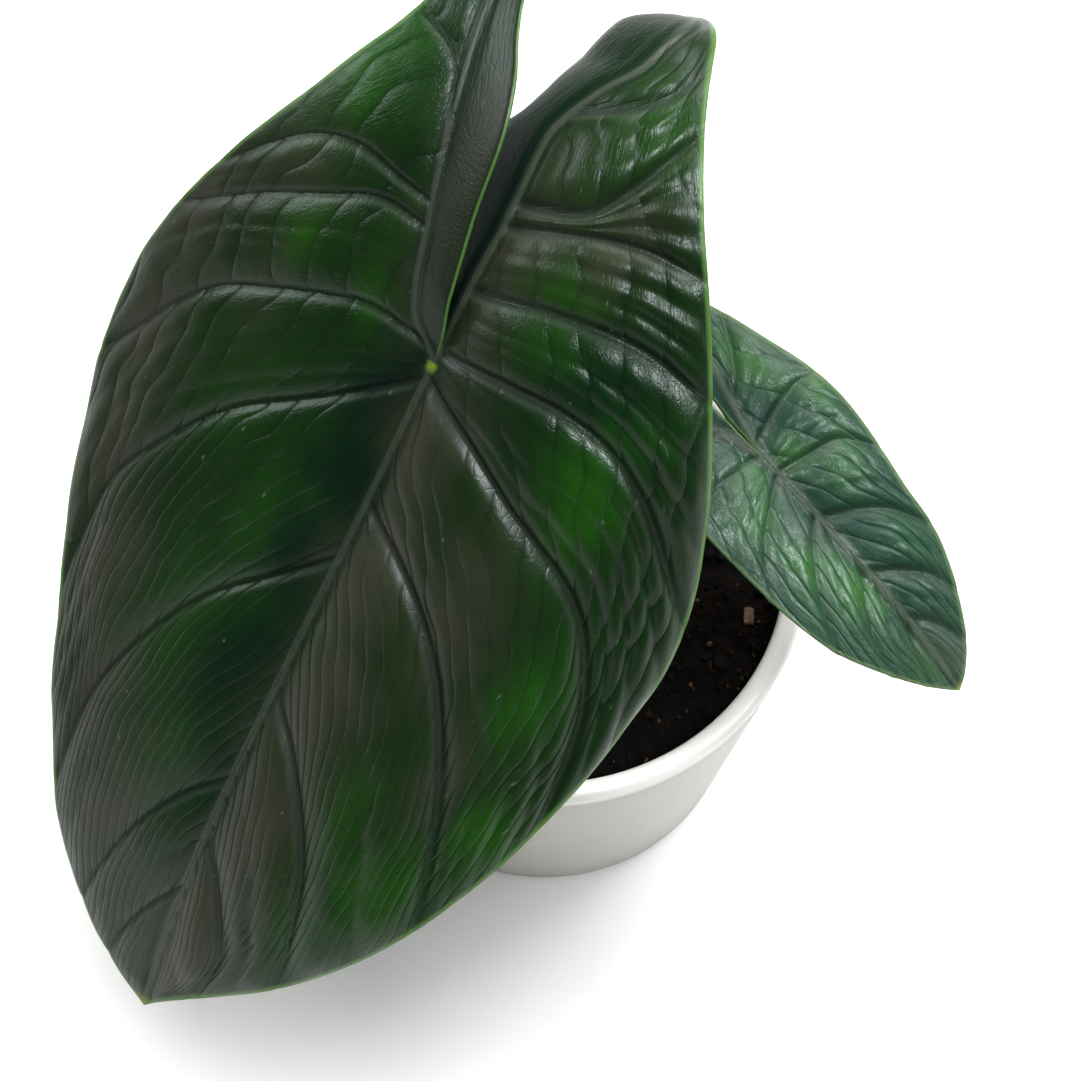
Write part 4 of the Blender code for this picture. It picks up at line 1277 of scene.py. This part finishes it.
def add_soil_body(finish):
    """The soil: a clodded surface with walls down inside the pot and a socket for the rhizome."""
    around = 260
    socket = RHIZOME_RADIUS + SOIL_GAP
    edge = inner_radius(POT_HEIGHT - SOIL_BELOW_RIM) - SOIL_GAP
    floor = RHIZOME_LOW.z - SOIL_GAP
    profile = [(0, floor), (socket, floor), (socket, soil_height(socket) - 3 * MM)]
    rings = 64
    for k in range(rings + 1):
        radius = socket + (edge - socket) * k / rings
        profile.append((radius, soil_height(radius)))
    first, last = 3, 3 + rings
    for height in (POT_HEIGHT - POT_LIP_DEPTH, POT_HEIGHT / 2, POT_FLOOR + POT_FOOT_ROUND + SOIL_GAP):
        profile.append((inner_radius(height) - SOIL_GAP, height))
    profile.append((inner_radius(POT_FLOOR) - POT_FOOT_ROUND - SOIL_GAP, POT_FLOOR + SOIL_GAP))
    profile.append((0, POT_FLOOR + SOIL_GAP))
    angles = np.linspace(0, 2 * np.pi, around + 1)
    profile = np.array(profile)
    places = np.stack([profile[:, :1] * np.cos(angles), profile[:, :1] * np.sin(angles),
                       np.repeat(profile[:, 1:], around + 1, 1)], -1)
    top = places[first:last + 1, :-1]
    clods = clod_height(top[..., :2])
    radius = np.hypot(top[..., 0], top[..., 1])
    hold = ramp(radius, socket, socket + 3 * MM)
    at_wall = 1 - 0.6 * ramp(radius, edge - 4 * MM, edge)
    places[first:last + 1, :-1, 2] += clods * hold * at_wall - 0.4 * MM * (1 - hold)
    places[:, -1] = places[:, 0]
    soil = wrap_grid("soil_surface", around, places)
    return settle(soil, finish, sharp=60)


def clod_height(flat):
    """Height of the soil's clods at places on its surface."""
    relief = sizes().soil_relief
    broad = noise_at(flat, 15 * MM, 21, 3)
    small = noise_at(flat, 4.5 * MM, 22, 4)
    return relief * (0.35 * broad + 0.45 * small)


def scatter(name, count, draw, starts, size_range, tones, finish, sink):
    """Copies of a few shaped grains, laid at random on the soil and joined in one piece."""
    inner = RHIZOME_RADIUS + 1.5 * MM
    outer = inner_radius(POT_HEIGHT - SOIL_BELOW_RIM) - 1.2 * MM
    made = []
    for k in range(count):
        radius = math.sqrt(draw.uniform((inner / outer) ** 2, 1)) * outer
        angle = draw.uniform(0, 2 * math.pi)
        size = draw.uniform(*size_range) * draw.uniform(0.7, 1)
        radius = min(radius, outer - size * 0.5)
        x, y = radius * math.cos(angle), radius * math.sin(angle)
        low = float(clod_height(np.array([[x, y]]))[0])
        start = starts[k % len(starts)]
        mesh = start.data.copy()
        turn = Matrix.Rotation(draw.uniform(0, 2 * math.pi), 4, "Z")
        tilt = Matrix.Rotation(draw.uniform(0, 2 * math.pi), 4, draw.choice("XY"))
        squash = Matrix.Diagonal((size, size * draw.uniform(0.5, 1), size * draw.uniform(0.4, 0.9), 1))
        height = soil_height(radius) + low + size * draw.uniform(*sink)
        mesh.transform(Matrix.Translation((x, y, height)) @ turn @ tilt @ squash)
        tone = tones(draw)
        add_number(mesh, "tone", np.full(len(mesh.vertices), tone))
        grain = bpy.data.objects.new(f"{name}_{k}", mesh)
        bpy.context.scene.collection.objects.link(grain)
        made.append(grain)
    deselect()
    for grain in made:
        grain.select_set(True)
    bpy.context.view_layer.objects.active = made[0]
    bpy.ops.object.join()
    return settle(name_new(name), finish, smooth=False)


def grain_starts(kind, seeds):
    """Small rough grains of unit size, each shaped once before it is copied."""
    starts = []
    for seed in seeds:
        deselect()
        bpy.ops.mesh.primitive_ico_sphere_add(subdivisions=2 if kind == "coarse" else 1, radius=0.5)
        start = name_new(f"grain_start_{seed}")
        with editing(start):
            bpy.ops.transform.vertex_random(offset=0.11, uniform=0.6, seed=seed)
        if kind == "coarse":
            bpy.ops.object.shade_smooth()
        starts.append(start)
    return starts


def remove_all(items):
    """Helper objects taken away."""
    for item in items:
        bpy.data.objects.remove(item)


def add_chip(name, node, seed, finish):
    """A torn bark chip in the place of its plain block: layered, rough ended and a little cupped."""
    low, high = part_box(node)
    block = coordinates(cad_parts[node].data)
    centre = (block.min(0) + block.max(0)) / 2
    flat = block[:, :2] - block[:, :2].mean(0)
    _, _, axes = np.linalg.svd(flat, full_matrices=False)
    spread = flat @ axes.T
    length, width = np.ptp(spread[:, 0]), np.ptp(spread[:, 1])
    thick = high.z - low.z
    turn = math.atan2(axes[0, 1], axes[0, 0])
    deselect()
    bpy.ops.mesh.primitive_cube_add(size=1)
    chip = name_new(name)
    chip.scale = (length * 0.94, width * 0.9, thick * 0.72)
    bpy.ops.object.transform_apply(location=False, rotation=False, scale=True)
    with editing(chip):
        bpy.ops.mesh.subdivide(number_cuts=11)
    co = coordinates(chip.data)
    shift = seed * 0.37
    ends = noise_at(np.stack([co[:, 1] + shift, co[:, 2] * 0.4], -1), 1.3 * MM, seed, 3)
    sides = noise_at(np.stack([co[:, 0] + shift, co[:, 2] * 0.4], -1), 2.6 * MM, seed + 1, 3)
    layers = noise_at(np.stack([co[:, 0] * 0.35, co[:, 1] + shift], -1), 1.1 * MM, seed + 2, 3)
    share_x = co[:, 0] / (length / 2)
    share_y = co[:, 1] / (width / 2)
    narrow = 1 - 0.32 * np.abs(share_x) ** 2.2
    co[:, 0] += 0.10 * length * ends * np.abs(share_x) ** 3
    co[:, 1] = co[:, 1] * narrow + 0.10 * width * sides * np.abs(share_y) ** 2 * np.sign(share_y)
    upper = co[:, 2] > 0
    thin = 1 - 0.45 * np.clip(np.abs(share_x), 0, 1) ** 3 - 0.25 * np.clip(np.abs(share_y), 0, 1) ** 4
    co[:, 2] = co[:, 2] * thin + 0.12 * thick * layers * upper
    co[:, 2] += 0.10 * thick * share_y ** 2
    move_to(chip.data, co)
    chip.rotation_euler = (0, 0, turn)
    chip.location = (centre[0], centre[1], low.z + thick * 0.40)
    add_number(chip.data, "tone", np.full(len(chip.data.vertices), (seed * 0.381) % 1))
    soften = chip.modifiers.new("soften", "SUBSURF")
    soften.levels = 1
    soften.render_levels = 1
    apply_modifiers(chip)
    return settle(chip, finish)


def add_rhizome_body(finish):
    """The stout stem: rings of old leaf scars, a rounded crown and a tapering root end."""
    around, rows = 120, 90
    top, bottom = RHIZOME_HIGH.z, RHIZOME_LOW.z
    height = top - bottom
    angles = np.linspace(0, 2 * np.pi, around + 1)
    shares = np.linspace(0, 1, rows + 1)
    places = np.zeros((rows + 1, around + 1, 3))
    for k, s in enumerate(shares):
        crown = min(1, s / 0.10)
        tail = min(1, (1 - s) / 0.42)
        radius = RHIZOME_RADIUS * math.sqrt(max(0, 1 - (1 - crown) ** 4))
        radius *= math.sqrt(max(0, 1 - (1 - tail) ** 2.6))
        level = top - height * (0.012 + 0.988 * max(0, s - 0.02) / 0.98)
        scar = 0.035 * math.sin(s * 44) * crown * tail
        around_wave = 0.03 * np.sin(angles * 3 + 1.2) + 0.02 * np.sin(angles * 7 + s * 6)
        r = radius * (0.955 + scar + around_wave * crown)
        places[k] = np.stack([r * np.cos(angles), r * np.sin(angles), np.full(around + 1, level)], -1)
    places[:, -1] = places[:, 0]
    return settle(wrap_grid("rhizome_body", around, places), finish)


def stalk_route(blade, foot_x, arch, steps):
    """Fine points of a stalk, from inside the crown to inside its blade."""
    rise, lean, lead = arch
    _, _, normal = blade.frame(1, np.array(0.02))
    spine = blade.surface(1, 0.02, 0.0)
    end = spine - normal * (BLADE_HALF + SOIL_GAP)
    start = np.array((foot_x, 0, RHIZOME_HIGH.z + SOIL_GAP))
    end_run = 2 * MM
    foot = start + np.array((0, 0, end_run))
    head = end - normal * end_run
    reach = (foot, foot + np.array((0, lean, rise)), head - normal * lead, head)
    share = np.linspace(0, 1, 200)[:, None]
    line = ((1 - share) ** 3 * reach[0] + 3 * share * (1 - share) ** 2 * reach[1]
            + 3 * share ** 2 * (1 - share) * reach[2] + share ** 3 * reach[3])
    sunk = start - np.array((0, 0, 1.5 * MM))
    joined = end + normal * (SOIL_GAP + 0.35 * MM)
    line = np.vstack([sunk, start, line, end, joined])
    return along_line(line, np.linspace(0, 1, steps + 1))


def add_stalk_body(name, blade, foot_x, foot_radius, top_radius, arch, finish):
    """A stalk: a grooved sheath at its foot, a round middle and a flare under the blade."""
    around, steps = 40, 150
    line, length = stalk_route(blade, foot_x, arch, steps)
    tangent = np.gradient(line, axis=0)
    tangent /= np.linalg.norm(tangent, axis=1, keepdims=True)
    side = np.array((1.0, 0, 0))
    angles = np.linspace(0, 2 * np.pi, around + 1)
    places = np.zeros((steps + 5, around + 1, 3))
    run = np.zeros((steps + 5, around + 1))
    for k in range(steps + 1):
        side = side - tangent[k] * (side @ tangent[k])
        side /= np.linalg.norm(side)
        other = np.cross(tangent[k], side)
        s = k / steps
        radius = foot_radius * (1 + (top_radius / foot_radius - 1) * s ** 0.7)
        radius *= 1 + 0.10 * math.exp(-s / 0.05)
        radius += 0.35 * top_radius * math.exp(-(1 - s) / 0.022)
        sheath = 1 - ramp(s, 0.16, 0.34)
        fold = 0.20 * sheath * np.exp(-((angles - 1.6) / 0.32) ** 2)
        wing = 0.07 * sheath * (np.exp(-((angles - 1.05) / 0.16) ** 2)
                                + np.exp(-((angles - 2.15) / 0.16) ** 2))
        channel = 0.10 * (1 - sheath) * np.exp(-((angles - 1.6) / 0.45) ** 2)
        ribs = 0.012 * np.cos(angles * 13)
        r = radius * (1 - fold - channel + wing + ribs)
        places[k + 2] = (line[k] + np.outer(r * np.cos(angles), side)
                         + np.outer(r * np.sin(angles), other))
        run[k + 2] = s
    places[1] = line[0] * 0.5 + places[2] * 0.5
    places[0] = line[0]
    places[-2] = line[-1] * 0.5 + places[-3] * 0.5
    places[-1] = line[-1]
    run[-2:] = 1
    places[:, -1] = places[:, 0]
    return settle(wrap_grid(name, around, places, run[:, 0]), finish)


# ---------------------------------------------------------------- operators

class ALOCASIA_OT_pot(bpy.types.Operator):
    """Model the white pot"""

    bl_idname = "alocasia.pot"
    bl_label = "Pot"

    def execute(self, context):
        pot = add_pot_shell(glaze_finish())
        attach(pot, "root")
        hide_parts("pot")
        return {"FINISHED"}


class ALOCASIA_OT_soil(bpy.types.Operator):
    """Fill the pot with soil and scatter crumbs on it"""

    bl_idname = "alocasia.soil"
    bl_label = "Soil"

    def execute(self, context):
        soil = add_soil_body(soil_finish())
        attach(soil, "root")
        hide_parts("soil")
        draw = random.Random(5)
        finish = crumb_finish()
        fine = grain_starts("fine", (1, 2, 3, 4, 5))
        coarse = grain_starts("coarse", (6, 7, 8, 9))
        crumbs = scatter("soil_crumbs", sizes().crumb_count, draw, fine, (0.8 * MM, 2.2 * MM),
                         lambda d: d.uniform(0, 0.8) if d.random() < 0.82 else d.uniform(0.75, 1),
                         finish, (0.05, 0.4))
        lumps = scatter("soil_lumps", sizes().lump_count, draw, coarse, (2.4 * MM, 5.5 * MM),
                        lambda d: d.uniform(0, 0.72) if d.random() < 0.9 else d.uniform(0.7, 0.9),
                        finish, (-0.1, 0.2))
        for piece in (crumbs, lumps):
            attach(piece, "root")
        remove_all(fine + coarse)
        return {"FINISHED"}


class ALOCASIA_OT_bark(bpy.types.Operator):
    """Lay the bark chips on the soil"""

    bl_idname = "alocasia.bark"
    bl_label = "Bark Chips"

    def execute(self, context):
        finish = bark_finish()
        nodes = sorted(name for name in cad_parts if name.startswith("bark_chip"))
        for k, node in enumerate(nodes):
            chip = add_chip(node.replace("bark_chip", "torn_chip"), node, k + 1, finish)
            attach(chip, "root")
            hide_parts(node)
        return {"FINISHED"}


class ALOCASIA_OT_stems(bpy.types.Operator):
    """Model the rhizome and the two stalks"""

    bl_idname = "alocasia.stems"
    bl_label = "Rhizome and Stalks"

    def execute(self, context):
        rhizome = add_rhizome_body(rhizome_finish())
        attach(rhizome, "root")
        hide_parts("rhizome")
        finish = stalk_finish()
        span = 2 * LARGE_STALK_RADIUS + FEET_GAP + 2 * SMALL_STALK_RADIUS
        large = add_stalk_body("stalk_large_body", large_blade(), LARGE_STALK_RADIUS - span / 2,
                               LARGE_STALK_RADIUS, 3.2 * MM, (62 * MM, 8 * MM, 46 * MM), finish)
        small = add_stalk_body("stalk_small_body", small_blade(), span / 2 - SMALL_STALK_RADIUS,
                               SMALL_STALK_RADIUS, 2.2 * MM, (26 * MM, 2 * MM, 26 * MM), finish)
        for stalk, node in ((large, "stalk_large"), (small, "stalk_small")):
            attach(stalk, "root")
            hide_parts(node)
        return {"FINISHED"}


class ALOCASIA_OT_large_leaf(bpy.types.Operator):
    """Model the large leaf with its veins"""

    bl_idname = "alocasia.large_leaf"
    bl_label = "Large Leaf"

    def execute(self, context):
        c = colours()
        top = blade_top("large_blade_top", tuple(c.leaf_green), tuple(c.leaf_bronze_sheen),
                        tuple(c.leaf_bright), tuple(c.leaf_teal_shade), (0.085, 0.20, 0.04), 0.25, 1)
        under = blade_under("large_blade_under", (0.055, 0.095, 0.045), (0.12, 0.17, 0.07))
        shared = np.concatenate([np.linspace(0, 0.014, 22, endpoint=False),
                                 np.linspace(0.014, 1, 171)])
        leaf = add_leaf("leaf_large_blade", large_blade(), LARGE_VEINS, shared, 12, 62,
                        sizes().large_dome, large_branches, (10.5 * MM, 10 * MM), large_pleats, 8 * MM,
                        (LARGE_BRONZE_SHEEN, LARGE_BRIGHT, LARGE_TEAL_SHADE), sizes().blade_thickness,
                        sizes().rib_thickness, (top, under))
        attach(leaf, "root")
        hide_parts("leaf_large")
        return {"FINISHED"}


class ALOCASIA_OT_small_leaf(bpy.types.Operator):
    """Model the small leaf with its veins"""

    bl_idname = "alocasia.small_leaf"
    bl_label = "Small Leaf"

    def execute(self, context):
        c = colours()
        # The second colour is grey bronze, partly painted sheen; the fourth is blue green painted
        # shade.
        top = blade_top("small_blade_top", tuple(c.small_green), (0.055, 0.068, 0.058),
                        (0.030, 0.120, 0.018), (0.010, 0.034, 0.026), (0.085, 0.15, 0.055), 0.22, 0.5)
        under = blade_under("small_blade_under", (0.065, 0.12, 0.055), (0.15, 0.21, 0.09))
        shared = np.concatenate([np.linspace(0, 0.03, 12, endpoint=False),
                                 np.linspace(0.03, 1, 91)])
        leaf = add_leaf("leaf_small_blade", small_blade(), SMALL_VEINS, shared, 8, 30,
                        sizes().small_dome, small_branches, (7 * MM, 7 * MM), small_pleats, 5 * MM,
                        (SMALL_BRONZE_SHEEN, SMALL_BRIGHT, SMALL_TEAL_SHADE), sizes().blade_thickness,
                        0.55 * sizes().rib_thickness, (top, under))
        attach(leaf, "root")
        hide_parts("leaf_small")
        return {"FINISHED"}


# name, place, size, power, colour, and the kind of ray that doesn't see it
LIGHTS = (
    ("key_light", (0.45, 1.8, 1.8), (1.8, 1.4), 55, (1, 0.99, 0.97), None),
    ("gleam_light", (0.5, -0.5, 1.9), (0.45, 0.45), 36, (0.9, 0.96, 1), "diffuse"),
    ("side_light", (-1.3, 0.6, 1.0), (0.9, 0.8), 20, (0.9, 0.96, 1), "diffuse"),
    ("edge_light", (1.3, -0.1, 1.1), (0.4, 0.4), 26, (0.9, 0.96, 1), "diffuse"),
    ("window_light", (1.1, 0.7, 1.5), (0.6, 0.9), 26, (0.93, 0.97, 1), None),
    ("fill_light", (0.1, -0.3, 2.6), (2.6, 2.6), 74, (0.99, 0.99, 1), "glossy"),
)
LIT_POINT = Vector((0, 0, 0.1))


def add_area(name, place, size, power, colour):
    """A soft rectangular light that faces the plant."""
    data = bpy.data.lights.new(name, "AREA")
    data.shape = "RECTANGLE"
    data.size, data.size_y = size
    data.energy = power
    data.color = colour
    lamp = bpy.data.objects.new(name, data)
    bpy.context.scene.collection.objects.link(lamp)
    lamp.location = place
    lamp.rotation_euler = (LIT_POINT - Vector(place)).to_track_quat("-Z", "Y").to_euler()
    return lamp


class ALOCASIA_OT_stage(bpy.types.Operator):
    """Set the pale floor, the soft lights and the camera"""

    bl_idname = "alocasia.stage"
    bl_label = "Stage"

    def execute(self, context):
        scene = context.scene
        deselect()
        bpy.ops.mesh.primitive_plane_add(size=8)
        floor = name_new("floor")
        g = Graph("pale_floor")
        floor.data.materials.append(g.finish(Base_Color=(0.93, 0.93, 0.93), Roughness=0.9,
                                             Specular_IOR_Level=0.0))
        for name, place, size, power, colour, hidden_from in LIGHTS:
            lamp = add_area(name, place, size, power, colour)
            if hidden_from:
                setattr(lamp, "visible_" + hidden_from, False)
        world = bpy.data.worlds.new("soft_room")
        scene.world = world
        world.use_nodes = True
        nodes, links = world.node_tree.nodes, world.node_tree.links
        light = nodes["Background"]
        light.inputs["Color"].default_value = (1, 1, 1, 1)
        light.inputs["Strength"].default_value = 0.12
        seen = nodes.new("ShaderNodeBackground")
        seen.inputs["Color"].default_value = (1, 1, 1, 1)
        seen.inputs["Strength"].default_value = 1
        path = nodes.new("ShaderNodeLightPath")
        mix = nodes.new("ShaderNodeMixShader")
        links.new(path.outputs["Is Camera Ray"], mix.inputs[0])
        links.new(light.outputs[0], mix.inputs[1])
        links.new(seen.outputs[0], mix.inputs[2])
        links.new(mix.outputs[0], nodes["World Output"].inputs["Surface"])
        camera = bpy.data.cameras.new("camera")
        camera.lens = 85
        camera.sensor_width = 36
        camera.dof.use_dof = False
        holder = bpy.data.objects.new("camera", camera)
        scene.collection.objects.link(holder)
        holder.location = (-0.00127, -0.29186, 0.70788)
        holder.rotation_euler = (math.radians(26), 0, 0)
        scene.camera = holder
        scene.view_settings.view_transform = "Standard"
        return {"FINISHED"}


class ALOCASIA_PT_panel(bpy.types.Panel):
    """Buttons for each piece of the plant"""

    bl_idname = "ALOCASIA_PT_panel"
    bl_label = "Potted Alocasia"
    bl_space_type = "VIEW_3D"
    bl_region_type = "UI"
    bl_category = "Alocasia"

    def draw(self, context):
        layout = self.layout
        for group in (context.scene.alocasia_sizes, context.scene.alocasia_colours):
            for name in group.bl_rna.properties.keys():
                if name not in ("rna_type", "name"):
                    layout.prop(group, name)
        for operator in OPERATORS:
            layout.operator(operator.bl_idname)


OPERATORS = (ALOCASIA_OT_pot, ALOCASIA_OT_soil, ALOCASIA_OT_bark, ALOCASIA_OT_stems,
             ALOCASIA_OT_large_leaf, ALOCASIA_OT_small_leaf, ALOCASIA_OT_stage)
CLASSES = (AlocasiaSizes, AlocasiaColours) + OPERATORS + (ALOCASIA_PT_panel,)


def register():
    """Add the classes and the scene's properties."""
    for made in CLASSES:
        bpy.utils.register_class(made)
    bpy.types.Scene.alocasia_sizes = PointerProperty(type=AlocasiaSizes)
    bpy.types.Scene.alocasia_colours = PointerProperty(type=AlocasiaColours)


def unregister():
    """Take the classes and the scene's properties away."""
    del bpy.types.Scene.alocasia_colours
    del bpy.types.Scene.alocasia_sizes
    for made in reversed(CLASSES):
        bpy.utils.unregister_class(made)


def main():
    """Build every piece."""
    register()
    bpy.ops.alocasia.pot()
    bpy.ops.alocasia.soil()
    bpy.ops.alocasia.bark()
    bpy.ops.alocasia.stems()
    bpy.ops.alocasia.large_leaf()
    bpy.ops.alocasia.small_leaf()
    bpy.ops.alocasia.stage()


if __name__ == "__main__":
    main()
